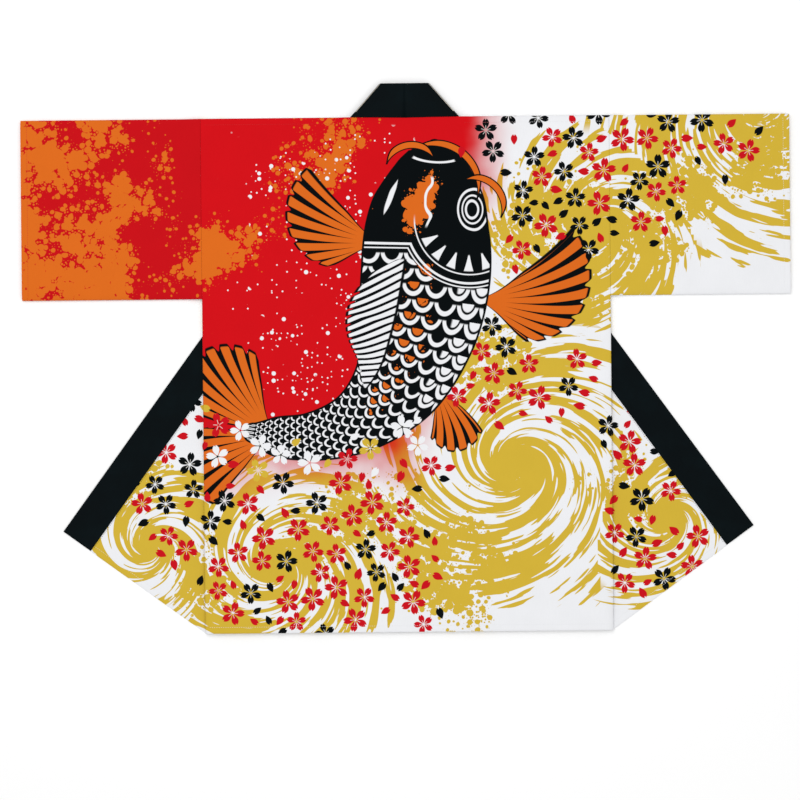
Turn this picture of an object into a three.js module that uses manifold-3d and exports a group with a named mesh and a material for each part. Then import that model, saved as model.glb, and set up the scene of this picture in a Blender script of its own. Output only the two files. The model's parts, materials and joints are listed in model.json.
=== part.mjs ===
// A festival happi coat that lies flat with its back up. Its sleeves are straight out, and the lower
// corner of each front is turned back on a diagonal crease, so that it shows beside the body.
// Millimetres: +X is the coat's right side, +Y runs from the hem to the neck, +Z is up.
// The turned-back pieces are drawn with the coat closed, and a group turns them half round the crease.

import * as THREE from "three";
import { mergeVertices } from "three/addons/utils/BufferGeometryUtils.js";
import Module from "manifold-3d";

const wasm = await Module();
wasm.setup();

// ---- Driving dimensions ----

const bodyWidth = 635;
const bodyLength = 800;
const sleeveLength = 280;
const sleeveDepth = 280;
const bandWidth = 52; // the collar band, folded in two
const frontGap = 91; // between the two free edges of the band, with the coat closed
const neckTopWidth = 80; // the band across the back of the neck, along its fold
const neckBaseWidth = 172; // the same band along its seam with the back panel
const neckHeight = 52;
const pivotRise = 37; // from the shoulder line up to where the crease leaves the band
const cloth = 0.5; // thickness of one layer
const clearance = 0.3; // between pieces that touch
const loft = 5.5; // air between the back and the front layers
const hemDepth = 10;
const seamAllowance = 8; // how far a panel's edge goes into the band
const shoulderStitchDrop = 10; // from the shoulder line to its row of stitches
const innerSeamInset = 4; // from a seam to the thread inside it
const seamEndGap = 6; // a row of stitches stops this far from a corner
const threadWidth = 0.5;
const threadHeight = 0.3;
const sleeveRamp = 27; // length over which the sleeve comes down from the body to the floor

// ---- Sizes worked out from them ----

const halfBody = bodyWidth / 2;
const neckTopHalf = neckTopWidth / 2;
const neckBaseHalf = neckBaseWidth / 2;
const totalLength = bodyLength + neckHeight;
const underarm = bodyLength - sleeveDepth;
const pivotHeight = bodyLength + pivotRise;
const freeEdge = frontGap / 2;
const frontHemLength = halfBody - freeEdge;
const bandSeam = freeEdge + bandWidth;
const slotHeight = cloth + 2 * clearance;
const bandThickness = slotHeight + 2 * cloth;

// Heights of the layers: the turned-back corner is on the floor, the front above it, then the back.
const turnedMiddle = bandThickness / 2;
const frontMiddle = turnedMiddle + bandThickness + clearance;
const creaseHeight = (turnedMiddle + frontMiddle) / 2;
const frontBottom = frontMiddle - cloth / 2;
const frontTop = frontMiddle + cloth / 2;
const backBottom = frontTop + loft;
const backTop = backBottom + cloth;
const backMiddle = (backBottom + backTop) / 2;
const sleeveBackBottom = cloth + loft;

// The crease is a straight line from the hem's side corner to the pivot. creaseGap keeps both of its
// sides clear of it, measured across the coat.
const creaseAngle = Math.atan2(frontHemLength, pivotHeight);
const creaseGap = clearance / Math.cos(creaseAngle);

function creaseX(height) {
  return halfBody - (frontHemLength * height) / pivotHeight;
}

function creaseHeightAt(x) {
  return ((halfBody - x) * pivotHeight) / frontHemLength;
}

const bandCrossing = creaseHeightAt(bandSeam);

// A sleeve stays at the body's height as far out as the turned-back band reaches under it.
const bandAtUnderarm = freeEdge + (pivotHeight - underarm) * Math.tan(2 * creaseAngle);
const sleeveStart = halfBody + clearance;
const rampStart = Math.max(sleeveStart, bandAtUnderarm + clearance);
const slotTop = bodyLength - seamAllowance / 2; // where the band's slot for a front panel ends

// Half of the neck piece's width, some way above the shoulder line.
function neckHalfAt(rise) {
  return neckBaseHalf - ((neckBaseHalf - neckTopHalf) * rise) / neckHeight;
}

// ---- Materials ----

function finish(colour, roughness) {
  return new THREE.MeshStandardMaterial({ color: colour, roughness, metalness: 0 });
}

const printedCotton = finish(0xd31a22, 0.85);
const blackCotton = finish(0x0e1014, 0.8);
const interliningCotton = finish(0xe8e2d4, 0.95);
const redThread = finish(0xb5161c, 0.6);
const blackThread = finish(0x141418, 0.6);

// ---- Solids ----

// A flat outline in the XY plane, from one height to another.
function slab(points, bottom, top) {
  const outline = new THREE.Shape(points.map(([x, y]) => new THREE.Vector2(x, y)));
  const geometry = new THREE.ExtrudeGeometry(outline, { depth: top - bottom, bevelEnabled: false });
  return geometry.translate(0, 0, bottom);
}

function rectangle(x0, x1, y0, y1) {
  return [
    [x0, y0],
    [x1, y0],
    [x1, y1],
    [x0, y1],
  ];
}

function box(x0, x1, y0, y1, bottom, top) {
  return slab(rectangle(x0, x1, y0, y1), bottom, top);
}

// A section in the XZ plane, run along Y.
function runAlong(section, y0, y1) {
  const geometry = slab(section, -y1, -y0);
  return geometry.rotateX(Math.PI / 2);
}

function toSolid(geometry) {
  const bare = geometry.clone();
  bare.deleteAttribute("normal");
  bare.deleteAttribute("uv");
  const merged = mergeVertices(bare, 1e-4);
  const vertices = merged.attributes.position.array;
  const triangles = new Uint32Array(merged.index.array);
  return new wasm.Manifold(
    new wasm.Mesh({ numProp: 3, vertProperties: vertices, triVerts: triangles }),
  );
}

function toGeometry(solid) {
  const { vertProperties, triVerts } = solid.getMesh();
  const geometry = new THREE.BufferGeometry();
  geometry.setAttribute("position", new THREE.BufferAttribute(vertProperties, 3));
  geometry.setIndex(new THREE.BufferAttribute(triVerts, 1));
  return geometry.toNonIndexed();
}

function join(geometries) {
  return toGeometry(geometries.map(toSolid).reduce((whole, next) => whole.add(next)));
}

function cut(geometry, tool) {
  return toGeometry(toSolid(geometry).subtract(toSolid(tool)));
}

function piece(name, geometry, material) {
  const mesh = new THREE.Mesh(geometry, material);
  mesh.name = name;
  return mesh;
}

// The same outline on the coat's other side, where side is -1.
function onSide(side, points) {
  return points.map(([x, y]) => [side * x, y]);
}

// ---- Back panel ----

function backPanel() {
  const sheet = box(-halfBody, halfBody, 0, bodyLength, backBottom, backTop);
  const inBand = cloth + clearance;
  const tongue = slab(
    [
      [-neckHalfAt(0) + 2 * inBand, bodyLength - cloth],
      [neckHalfAt(0) - 2 * inBand, bodyLength - cloth],
      [neckHalfAt(seamAllowance) - 2 * inBand, bodyLength + seamAllowance],
      [-neckHalfAt(seamAllowance) + 2 * inBand, bodyLength + seamAllowance],
    ],
    backBottom,
    backTop,
  );
  const hem = box(-halfBody, halfBody, 0, hemDepth, backBottom - cloth, backTop);
  const edges = [-1, 1].flatMap((side) => {
    const low = frontTop + clearance;
    const sideSeam = rectangle(halfBody - cloth, halfBody, 0, underarm);
    const shoulder = rectangle(neckBaseHalf + clearance, halfBody, bodyLength - cloth, bodyLength);
    return [slab(onSide(side, sideSeam), low, backTop), slab(onSide(side, shoulder), low, backTop)];
  });
  return piece("back_panel", join([sheet, tongue, hem, ...edges]), printedCotton);
}

// ---- Fronts ----

// The part of a front between its side seam and the crease, which stays under the back.
// Its top edge steps down beside the neck, to go into the band's slot.
function frontSidePanel(name, side) {
  const besideBand = neckBaseHalf + 2 * clearance;
  const outline = [
    [halfBody, creaseHeightAt(halfBody - creaseGap)],
    [halfBody, bodyLength],
    [besideBand, bodyLength],
    [besideBand, slotTop - clearance],
    [neckBaseHalf - seamAllowance, slotTop - clearance],
    [bandSeam - seamAllowance + creaseGap, creaseHeightAt(bandSeam - seamAllowance)],
  ];
  return piece(name, slab(onSide(side, outline), frontBottom, frontTop), printedCotton);
}

// The part between the crease and the band, drawn closed. Its hem is doubled on the inside, and stops
// beside the back panel's turned-down edge.
function frontTurnback(name, side) {
  const inSlot = bandSeam - seamAllowance;
  const sheet = [
    [inSlot, cloth + clearance],
    [creaseX(cloth + clearance) - creaseGap, cloth + clearance],
    [inSlot, creaseHeightAt(inSlot + creaseGap)],
  ];
  const hemStart = bandSeam + clearance;
  const hem = [
    [hemStart, 0],
    [halfBody - cloth - 2 * clearance, 0],
    [creaseX(hemDepth) - creaseGap, hemDepth],
    [hemStart, hemDepth],
  ];
  const layers = [
    slab(onSide(side, sheet), frontBottom, frontTop),
    slab(onSide(side, hem), frontBottom, frontTop + cloth),
  ];
  return piece(name, join(layers), printedCotton);
}

// ---- Collar band ----

// The band down a front, drawn closed: a strip folded in two, open towards the panel it holds.
function frontBand(name, side) {
  const bottom = frontMiddle - bandThickness / 2;
  const top = frontMiddle + bandThickness / 2;
  const outline = [
    [freeEdge, 0],
    [bandSeam, 0],
    [bandSeam, creaseHeightAt(bandSeam + creaseGap)],
    [freeEdge, creaseHeightAt(freeEdge + creaseGap)],
  ];
  const slot = rectangle(freeEdge + cloth, bandSeam + 1, cloth, pivotHeight + 1);
  const folded = cut(
    slab(onSide(side, outline), bottom, top),
    slab(onSide(side, slot), bottom + cloth, top - cloth),
  );
  return piece(name, folded, blackCotton);
}

// The stiff strip inside the band, which stops short of the panel's edge.
function frontInterlining(name, side) {
  const inner = cloth + clearance;
  const outer = bandSeam - seamAllowance - clearance;
  const outline = [
    [freeEdge + inner, inner],
    [outer, inner],
    [outer, creaseHeightAt(outer + creaseGap)],
    [freeEdge + inner, creaseHeightAt(freeEdge + inner + creaseGap)],
  ];
  return piece(name, slab(onSide(side, outline), frontBottom, frontTop), interliningCotton);
}

// The band behind the neck, with its two shoulder ends that run down to the creases.
function neckBand() {
  const upper = backMiddle - bandThickness / 2;
  const lower = frontMiddle - bandThickness / 2;
  const top = bodyLength + neckHeight;
  const behindNeck = [
    [-neckBaseHalf, bodyLength],
    [neckBaseHalf, bodyLength],
    [neckTopHalf, top],
    [-neckTopHalf, top],
  ];
  const inset = 2 * cloth;
  const neckSlot = [
    [-neckHalfAt(-1) + inset, bodyLength - 1],
    [neckHalfAt(-1) - inset, bodyLength - 1],
    [neckTopHalf - inset, top - cloth],
    [-neckTopHalf + inset, top - cloth],
  ];
  const doubled = toSolid(slab(behindNeck, upper, upper + bandThickness)).subtract(
    toSolid(slab(neckSlot, upper + cloth, upper + bandThickness - cloth)),
  );
  const ends = [-1, 1].map((side) => {
    const end = [
      [neckBaseHalf, bodyLength],
      [neckTopHalf, top],
      [freeEdge + creaseGap, pivotHeight],
      [bandSeam, creaseHeightAt(bandSeam - creaseGap)],
    ];
    const endSlot = [
      [neckBaseHalf + inset, slotTop],
      [neckBaseHalf - seamAllowance - inset, slotTop],
      [bandSeam - seamAllowance - inset, bandCrossing - inset],
      [bandSeam + inset, bandCrossing - inset],
    ];
    const sideFold = [
      [neckBaseHalf, bodyLength],
      [neckTopHalf, top],
      [neckTopHalf - inset, top],
      [neckBaseHalf - inset, bodyLength],
    ];
    const plate = toSolid(slab(onSide(side, end), lower, lower + bandThickness));
    const slot = slab(onSide(side, endSlot), lower + cloth, lower + bandThickness - cloth);
    const fold = toSolid(slab(onSide(side, sideFold), lower, upper + bandThickness));
    return plate.subtract(toSolid(slot)).add(fold);
  });
  const whole = ends.reduce((solid, end) => solid.add(end), doubled);
  return piece("collar_neck", toGeometry(whole), blackCotton);
}

function neckInterlining() {
  const inset = 2 * (cloth + clearance);
  const low = seamAllowance + clearance;
  const outline = [
    [-neckHalfAt(low) + inset, bodyLength + low],
    [neckHalfAt(low) - inset, bodyLength + low],
    [neckTopHalf - inset, totalLength - cloth - clearance],
    [-neckTopHalf + inset, totalLength - cloth - clearance],
  ];
  return piece("collar_neck_interlining", slab(outline, backBottom, backTop), interliningCotton);
}

// ---- Sleeves ----

// The height of a sleeve layer along the sleeve, from the armhole to the cuff.
function layerLine(atArmhole, atCuff) {
  const level = rampStart > sleeveStart ? [[rampStart, atArmhole]] : [];
  return [
    [sleeveStart, atArmhole],
    ...level,
    [rampStart + sleeveRamp, atCuff],
    [halfBody + sleeveLength, atCuff],
  ];
}

function between(side, lowLine, highLine, y0, y1) {
  return runAlong(onSide(side, [...lowLine, ...highLine.toReversed()]), y0, y1);
}

function cuffHem(side, bottom, top) {
  const cuff = halfBody + sleeveLength;
  const outline = rectangle(cuff - hemDepth, cuff, underarm + cloth, bodyLength - cloth);
  return slab(onSide(side, outline), bottom, top);
}

// The upper layer, with the fold along the shoulder and the seam under the arm turned down.
function sleeveBack(name, side) {
  const under = layerLine(backBottom, sleeveBackBottom);
  const over = layerLine(backTop, sleeveBackBottom + cloth);
  const low = layerLine(frontTop + clearance, cloth + clearance);
  const parts = [
    between(side, under, over, underarm, bodyLength),
    between(side, low, over, bodyLength - cloth, bodyLength),
    between(side, low, over, underarm, underarm + cloth),
    cuffHem(side, sleeveBackBottom - cloth, sleeveBackBottom + cloth),
  ];
  return piece(name, join(parts), printedCotton);
}

function sleeveFront(name, side) {
  const under = layerLine(frontBottom, 0);
  const over = layerLine(frontTop, cloth);
  const parts = [between(side, under, over, underarm, bodyLength), cuffHem(side, 0, 2 * cloth)];
  return piece(name, join(parts), printedCotton);
}

// ---- Sewing thread: each row of stitches is one thin straight run ----

function row(name, side, x0, x1, y0, y1, bottom, material) {
  const outline = onSide(side, rectangle(x0, x1, y0, y1));
  return piece(name, slab(outline, bottom, bottom + threadHeight), material);
}

function bodyRows() {
  const onTop = backTop + clearance;
  const inside = backBottom - clearance - threadHeight;
  const seamX = halfBody - innerSeamInset;
  const sides = ["left", "right"].flatMap((word, index) => {
    const side = 2 * index - 1;
    const shoulderY = bodyLength - shoulderStitchDrop;
    const from = neckBaseHalf + seamEndGap;
    const to = halfBody - seamEndGap;
    const armholeTop = bodyLength - seamEndGap;
    const sideSeamTop = underarm - seamEndGap;
    const sideSeamLow = hemDepth + seamEndGap;
    const wide = threadWidth;
    return [
      row(`${word}_shoulder_stitching`, side, from, to, shoulderY, shoulderY + wide, onTop, redThread),
      row(`${word}_armhole_stitching`, side, seamX, seamX + wide, underarm, armholeTop, inside, redThread),
      row(`${word}_side_stitching`, side, seamX, seamX + wide, sideSeamLow, sideSeamTop, inside, redThread),
    ];
  });
  const hemEnd = halfBody - seamEndGap;
  const hemY = hemDepth - threadWidth;
  const neckEnd = neckBaseHalf - seamEndGap;
  const neckY = bodyLength - clearance;
  return [
    ...sides,
    row("back_hem_stitching", 1, -hemEnd, hemEnd, hemY - threadWidth, hemY, onTop, redThread),
    row("neck_stitching", 1, -neckEnd, neckEnd, neckY - threadWidth, neckY, onTop, blackThread),
  ];
}

function sleeveRows(word, side) {
  const cuffX = halfBody + sleeveLength - hemDepth + threadWidth;
  const seamY = underarm + innerSeamInset;
  const flatStart = rampStart + sleeveRamp + seamEndGap;
  const flatEnd = halfBody + sleeveLength - hemDepth - seamEndGap;
  const onTop = sleeveBackBottom + cloth + clearance;
  const inside = sleeveBackBottom - clearance - threadHeight;
  const cuffLow = underarm + seamEndGap;
  const cuffHigh = bodyLength - seamEndGap;
  return [
    row(`${word}_cuff_stitching`, side, cuffX, cuffX + threadWidth, cuffLow, cuffHigh, onTop, redThread),
    row(`${word}_underarm_stitching`, side, flatStart, flatEnd, seamY, seamY + threadWidth, inside, redThread),
  ];
}

// Both rows are on the outer face, which is the lower one while the front is drawn closed.
function frontRows(word, side) {
  const outside = frontBottom - clearance - threadHeight;
  const hemY = hemDepth - threadWidth;
  const hemFrom = bandSeam + seamEndGap;
  const hemTo = creaseX(hemDepth) - seamEndGap;
  const bandX = bandSeam + clearance;
  const bandTop = creaseHeightAt(bandX + threadWidth + creaseGap) - seamEndGap;
  return [
    row(`${word}_front_hem_stitching`, side, hemFrom, hemTo, hemY - threadWidth, hemY, outside, redThread),
    row(`${word}_band_stitching`, side, bandX, bandX + threadWidth, seamEndGap, bandTop, outside, blackThread),
  ];
}

// ---- Assembly ----

function turnedBackFront(word, side) {
  const closed = new THREE.Group();
  closed.add(
    frontTurnback(`${word}_front_turnback`, side),
    frontBand(`${word}_collar_band`, side),
    frontInterlining(`${word}_band_interlining`, side),
    ...frontRows(word, side),
  );
  const hemCorner = new THREE.Vector3(side * halfBody, 0, creaseHeight);
  const pivot = new THREE.Vector3(side * freeEdge, pivotHeight, creaseHeight);
  closed.position.copy(hemCorner).negate();
  const turned = new THREE.Group();
  turned.position.copy(hemCorner);
  const crease = pivot.clone().sub(hemCorner).normalize();
  turned.quaternion.setFromAxisAngle(crease, Math.PI);
  turned.add(closed);
  return turned;
}

const coat = new THREE.Group();
coat.add(backPanel(), neckBand(), neckInterlining(), ...bodyRows());
["left", "right"].forEach((word, index) => {
  const side = 2 * index - 1;
  coat.add(
    frontSidePanel(`${word}_front_panel`, side),
    sleeveBack(`${word}_sleeve_back`, side),
    sleeveFront(`${word}_sleeve_front`, side),
    ...sleeveRows(word, side),
    turnedBackFront(word, side),
  );
});
coat.position.y = -totalLength / 2;

const group = new THREE.Group();
group.add(coat);

export default group;
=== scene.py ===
"""The looks of a festival happi coat that lies flat with its back up.

Every cloth is cut flat, as it was before it was sewn, and a cloth class then lays it out: hems turn
under, each sleeve becomes a tube, and each front and its collar band fold on a diagonal crease. The
print is worked out on the flat cloth, in metres from the hem, so it stays on the cloth as it moves.
"""

import json
import logging
import math
from dataclasses import dataclass
from enum import Enum
from typing import Callable, Sequence

import bmesh
import bpy
import numpy as np
from mathutils import Matrix, Vector, noise


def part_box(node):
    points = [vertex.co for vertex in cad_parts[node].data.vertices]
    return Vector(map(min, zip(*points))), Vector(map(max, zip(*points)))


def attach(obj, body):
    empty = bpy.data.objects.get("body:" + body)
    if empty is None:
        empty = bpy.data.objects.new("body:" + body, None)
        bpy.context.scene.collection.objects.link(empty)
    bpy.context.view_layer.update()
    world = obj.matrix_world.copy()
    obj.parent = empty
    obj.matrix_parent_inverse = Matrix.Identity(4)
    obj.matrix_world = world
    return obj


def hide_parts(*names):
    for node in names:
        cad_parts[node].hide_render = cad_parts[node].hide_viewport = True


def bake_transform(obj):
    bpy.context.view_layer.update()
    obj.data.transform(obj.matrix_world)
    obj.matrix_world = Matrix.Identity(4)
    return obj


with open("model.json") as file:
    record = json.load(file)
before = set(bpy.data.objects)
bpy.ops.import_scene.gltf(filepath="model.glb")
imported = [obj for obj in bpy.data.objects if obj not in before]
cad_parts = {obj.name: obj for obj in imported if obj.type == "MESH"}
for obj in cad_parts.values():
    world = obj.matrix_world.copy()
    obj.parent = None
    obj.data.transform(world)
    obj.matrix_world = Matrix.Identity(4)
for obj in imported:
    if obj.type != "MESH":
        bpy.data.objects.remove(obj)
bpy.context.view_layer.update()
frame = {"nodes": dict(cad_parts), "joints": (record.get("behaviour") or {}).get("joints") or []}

LOG = logging.getLogger("happi_coat")
MM = 0.001
PATTERN_MAP = "pattern"
Point = tuple[float, float]
Colour = tuple[float, float, float]
Row = tuple[Vector, Vector]
THREAD_CLEARANCE = 0.3 * MM


# ---------------------------------------------------------------- the coat's sizes, from the frame


@dataclass(frozen=True)
class Coat:
    """The coat's sizes and the heights of its layers, in metres, in the frame's own axes."""

    half_body: float
    hem: float
    shoulder: float
    underarm: float
    cuff: float
    collar_top: float
    crease_height: float
    front_level: float
    back_level: float
    sleeve_level: float
    band_width: float = 0.052
    front_gap: float = 0.091
    pivot_rise: float = 0.037
    neck_base: float = 0.086
    neck_top: float = 0.040
    cloth: float = 0.0005
    hem_depth: float = 0.010
    hem_turn: float = 0.0004
    band_turn: float = 0.251
    sag: float = 0.00045
    ramp: float = 0.034
    edge_round: float = 0.012

    @staticmethod
    def from_frame() -> "Coat":
        """Reads the sizes from the CAD nodes and the crease's joint.

        Returns:
            The coat's sizes.
        """
        front_low, front_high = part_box("left_front_panel")
        sleeve_low, sleeve_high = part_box("right_sleeve_back")
        cuff_thread_low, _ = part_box("right_cuff_stitching")
        _, neck_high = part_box("collar_neck_interlining")
        back_low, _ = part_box("back_panel")
        crease = next(j for j in frame["joints"] if j["name"] == "right_front_fold")
        cloth = front_high.z - front_low.z
        return Coat(
            half_body=crease["pos_m"][0],
            hem=back_low.y,
            shoulder=front_high.y,
            underarm=sleeve_low.y,
            cuff=sleeve_high.x,
            collar_top=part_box("collar_neck")[1].y,
            crease_height=crease["pos_m"][2],
            front_level=(front_low.z + front_high.z) / 2,
            back_level=neck_high.z - cloth / 2,
            sleeve_level=cuff_thread_low.z - THREAD_CLEARANCE - cloth / 2,
            cloth=cloth,
        )

    @property
    def free_edge(self) -> float:
        """Where the band's free edge is, from the coat's middle, with the coat closed."""
        return self.front_gap / 2

    @property
    def band_seam(self) -> float:
        """Where the band is sewn to a front, from the coat's middle, with the coat closed."""
        return self.free_edge + self.band_width

    @property
    def pivot(self) -> Point:
        """Where the crease leaves the band's free edge."""
        return self.free_edge, self.shoulder + self.pivot_rise

    @property
    def length(self) -> float:
        """From the shoulder line to the hem."""
        return self.shoulder - self.hem

    @property
    def sleeve_length(self) -> float:
        """From the armhole to the cuff."""
        return self.cuff - self.half_body

    @property
    def sleeve_depth(self) -> float:
        """From the shoulder line to the underarm seam."""
        return self.shoulder - self.underarm

    @property
    def laid_level(self) -> float:
        """The height at which the back lies, away from the band and the seams."""
        return self.back_level - self.sag

    def from_hem(self, y: float) -> float:
        """The height of a place above the hem, along the cloth."""
        return y - self.hem


COAT = Coat.from_frame()


class Side(Enum):
    """A side of the coat, as the sign of its X."""

    LEFT = -1
    RIGHT = 1

    @property
    def word(self) -> str:
        """The side's name in node and body names."""
        return self.name.lower()


def smooth(low: float, high: float, value: float) -> float:
    """A smooth step from 0 at low to 1 at high."""
    t = min(max((value - low) / (high - low), 0.0), 1.0)
    return t * t * (3 - 2 * t)


def waves(x: float, y: float, seed: float, height: float, scale: float) -> float:
    """A soft unevenness of laid cloth.

    Args:
        x: place across the coat, in metres.
        y: place along the coat, in metres.
        seed: tells one cloth's unevenness from another's.
        height: the largest rise, in metres.
        scale: waves to the metre.

    Returns:
        The rise at that place, in metres, from -height to height.
    """
    broad = noise.noise(Vector((x * scale, y * scale, seed)))
    fine = noise.noise(Vector((x * scale * 2.7, y * scale * 2.7, seed + 9)))
    return height * (0.75 * broad + 0.25 * fine)


# ---------------------------------------------------------------- flat cutting


def graded(start: float, end: float, step: float, fine_start: bool, fine_end: bool) -> list[float]:
    """Places along a cut from start to end, closer together at the ends that bend.

    Args:
        start: the first place, in metres.
        end: the last place, in metres.
        step: the spacing away from the ends.
        fine_start: whether the places crowd at the start.
        fine_end: whether the places crowd at the end.

    Returns:
        The places in order.
    """
    near = [0.0, 0.6 * MM, 1.5 * MM, 3 * MM, 5 * MM, 8 * MM]
    first = near if fine_start else [0.0]
    last = near if fine_end else [0.0]
    room = end - start - first[-1] - last[-1]
    count = max(round(room / step), 1)
    middle = [start + first[-1] + room * k / count for k in range(count + 1)]
    head = [start + d for d in first[:-1]]
    tail = [end - d for d in reversed(last[:-1])]
    return head + middle + tail


def hem_places(edge: float, depth: float, turn: float, outward: int) -> list[float]:
    """Places across a hem's allowance, from the turned edge outward on the flat cut.

    Args:
        edge: where the finished edge is.
        depth: how deep the hem is.
        turn: the radius of the turn.
        outward: 1 or -1, the way out of the cloth.

    Returns:
        The places in order.
    """
    arc = math.pi * turn
    beyond = [arc * 0.25, arc * 0.5, arc * 0.75, arc, arc + depth * 0.5, arc + depth]
    return [edge + outward * b for b in beyond]


def turned_under(beyond: float, turn: float) -> Point:
    """Where cloth that runs past an edge ends up once it is turned under.

    Args:
        beyond: how far past the edge the place is on the flat cut.
        turn: the radius of the turn.

    Returns:
        How far out of the edge the place is, and how far it has dropped.
    """
    if beyond <= 0:
        return beyond, 0.0
    arc = math.pi * turn
    if beyond < arc:
        angle = beyond / turn
        return turn * math.sin(angle), turn * (1 - math.cos(angle))
    return -(beyond - arc), 2 * turn


def cut_cloth(xs: Sequence[float], ys: Sequence[float]) -> bmesh.types.BMesh:
    """A flat cloth with threads at the given places, and its pattern map in metres from the hem.

    Args:
        xs: the places across, in metres.
        ys: the places along, in metres.

    Returns:
        A new bmesh in the XY plane.
    """
    bm = bmesh.new()
    across, along = len(xs) - 1, len(ys) - 1
    bmesh.ops.create_grid(bm, x_segments=across, y_segments=along, size=0.5)
    for v in bm.verts:
        column = round((v.co.x + 0.5) * across)
        row = round((v.co.y + 0.5) * along)
        v.co = (xs[column], ys[row], 0.0)
    bm.loops.layers.uv.new(PATTERN_MAP)
    return bm


def write_pattern(bm: bmesh.types.BMesh, place: Callable[[Vector], Point]) -> None:
    """Writes the pattern map from the flat cloth's own places.

    Args:
        bm: the flat cloth.
        place: gives a vertex's place on the print, in metres.
    """
    layer = bm.loops.layers.uv[PATTERN_MAP]
    for face in bm.faces:
        for loop in face.loops:
            loop[layer].uv = place(loop.vert.co)


def lay_out(bm: bmesh.types.BMesh, shape: Callable[[Vector], Vector]) -> None:
    """Moves each place of the flat cloth to where it lies."""
    for v in bm.verts:
        v.co = shape(v.co.copy())


def make_object(
    name: str, bm: bmesh.types.BMesh, materials: Sequence[bpy.types.Material]
) -> bpy.types.Object:
    """Turns a bmesh into a smooth-shaded object at the origin, and frees the bmesh.

    Args:
        name: the piece's name.
        bm: its shape.
        materials: its materials, the outer face's first.

    Returns:
        The new object.
    """
    mesh = bpy.data.meshes.new(name)
    bm.to_mesh(mesh)
    bm.free()
    mesh.shade_smooth()
    for material in materials:
        mesh.materials.append(material)
    made = bpy.data.objects.new(name, mesh)
    bpy.context.scene.collection.objects.link(made)
    return made


def thicken(obj: bpy.types.Object, thickness: float, inner_material: int = 0) -> None:
    """Gives a cloth its thickness, half to each side, with its own material on the inner face.

    Args:
        obj: the cloth.
        thickness: its thickness, in metres.
        inner_material: the number of the inner face's material.
    """
    solid = obj.modifiers.new("thickness", "SOLIDIFY")
    solid.thickness = thickness
    solid.offset = 0.0
    solid.use_rim = True
    solid.material_offset = inner_material


# ---------------------------------------------------------------- creases


@dataclass(frozen=True)
class Crease:
    """A straight crease in the XY plane, about which cloth turns half round.

    A place's distance is positive on the side that turns. What turns ends up over the still side,
    drop times the turn's radius higher or lower.
    """

    start: Vector
    direction: Vector
    still_side: Vector
    radius: float
    axis_height: float
    drop: int
    length: float

    @property
    def reach(self) -> float:
        """How far to each side of the crease the cloth is curved."""
        return math.pi * self.radius / 2

    def along(self, place: Vector) -> float:
        """How far along the crease a flat place is."""
        return (place.xy - self.start).dot(self.direction)

    def past(self, place: Vector) -> float:
        """How far a flat place is past the crease, on the side that turns."""
        straight = -(place.xy - self.start).dot(self.still_side)
        release = smooth(self.length - 4 * MM, self.length + 2 * MM, self.along(place))
        return straight - release * 2 * self.reach if abs(straight) < 2 * self.reach else straight

    def fold(self, place: Vector, rise: float) -> Vector:
        """Where a flat place ends up once the cloth has turned.

        Args:
            place: the place on the flat cloth.
            rise: its height over the cloth's middle before the turn.

        Returns:
            The place in the frame.
        """
        past = self.past(place)
        angle = min(max(past / self.radius, -math.pi / 2), math.pi / 2)
        straight = max(abs(past) - self.reach, 0.0)
        depth = self.radius - self.drop * rise
        out = self.reach - depth * math.cos(angle) + straight
        height = self.axis_height + self.drop * depth * math.sin(angle)
        spot = self.start + self.direction * self.along(place) + self.still_side * out
        return Vector((spot.x, spot.y, height))

    def mirrored(self, place: Vector) -> Vector:
        """Where a flat place would be if the whole cloth had turned about a sharp crease."""
        past = -(place.xy - self.start).dot(self.still_side)
        spot = place.xy + self.still_side * (2 * past)
        return Vector((spot.x, spot.y, place.z))

    def cut(self, bm: bmesh.types.BMesh, steps: Sequence[float]) -> None:
        """Cuts a flat cloth along lines beside the crease, so that it can curve there.

        Args:
            bm: the flat cloth.
            steps: the lines' distances past the crease, in reaches.
        """
        normal = Vector((self.still_side.x, self.still_side.y, 0.0))
        for step in steps:
            spot = self.start - self.still_side * (step * self.reach)
            everything = bm.verts[:] + bm.edges[:] + bm.faces[:]
            centre = Vector((spot.x, spot.y, 0.0))
            bmesh.ops.bisect_plane(bm, geom=everything, dist=1e-6, plane_co=centre, plane_no=normal)


CREASE_CUTS = (-1.0, -0.7, -0.4, -0.13, 0.13, 0.4, 0.7, 1.0)


def front_crease(side: Side) -> Crease:
    """The diagonal crease of a front, from the hem's side corner up to the band's free edge.

    Args:
        side: which front.

    Returns:
        The crease.
    """
    sign = side.value
    start = Vector((sign * COAT.half_body, COAT.hem))
    end = Vector((sign * COAT.pivot[0], COAT.pivot[1]))
    direction = (end - start).normalized()
    still = Vector((direction.y, -direction.x)) * sign
    radius = COAT.front_level - COAT.crease_height
    return Crease(start, direction, still, radius, COAT.crease_height, -1, (end - start).length)


def neck_crease(side: Side) -> Crease:
    """The slanted fold beside the neck, where the band turns up and over to the back.

    Args:
        side: which side of the neck.

    Returns:
        The fold.
    """
    sign = side.value
    start = Vector((sign * COAT.neck_base, COAT.shoulder))
    end = Vector((sign * COAT.neck_top, COAT.collar_top))
    direction = (end - start).normalized()
    still = Vector((-direction.y, direction.x)) * sign
    radius = (COAT.back_level - COAT.front_level) / 2
    middle = (COAT.back_level + COAT.front_level) / 2
    return Crease(start, direction, still, radius, middle, 1, 1.0)


# ---------------------------------------------------------------- how the body's seams lie

SEAM_LEVEL = (COAT.laid_level + COAT.front_level) / 2
SEAM_GAP = COAT.cloth * 0.56


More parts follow.
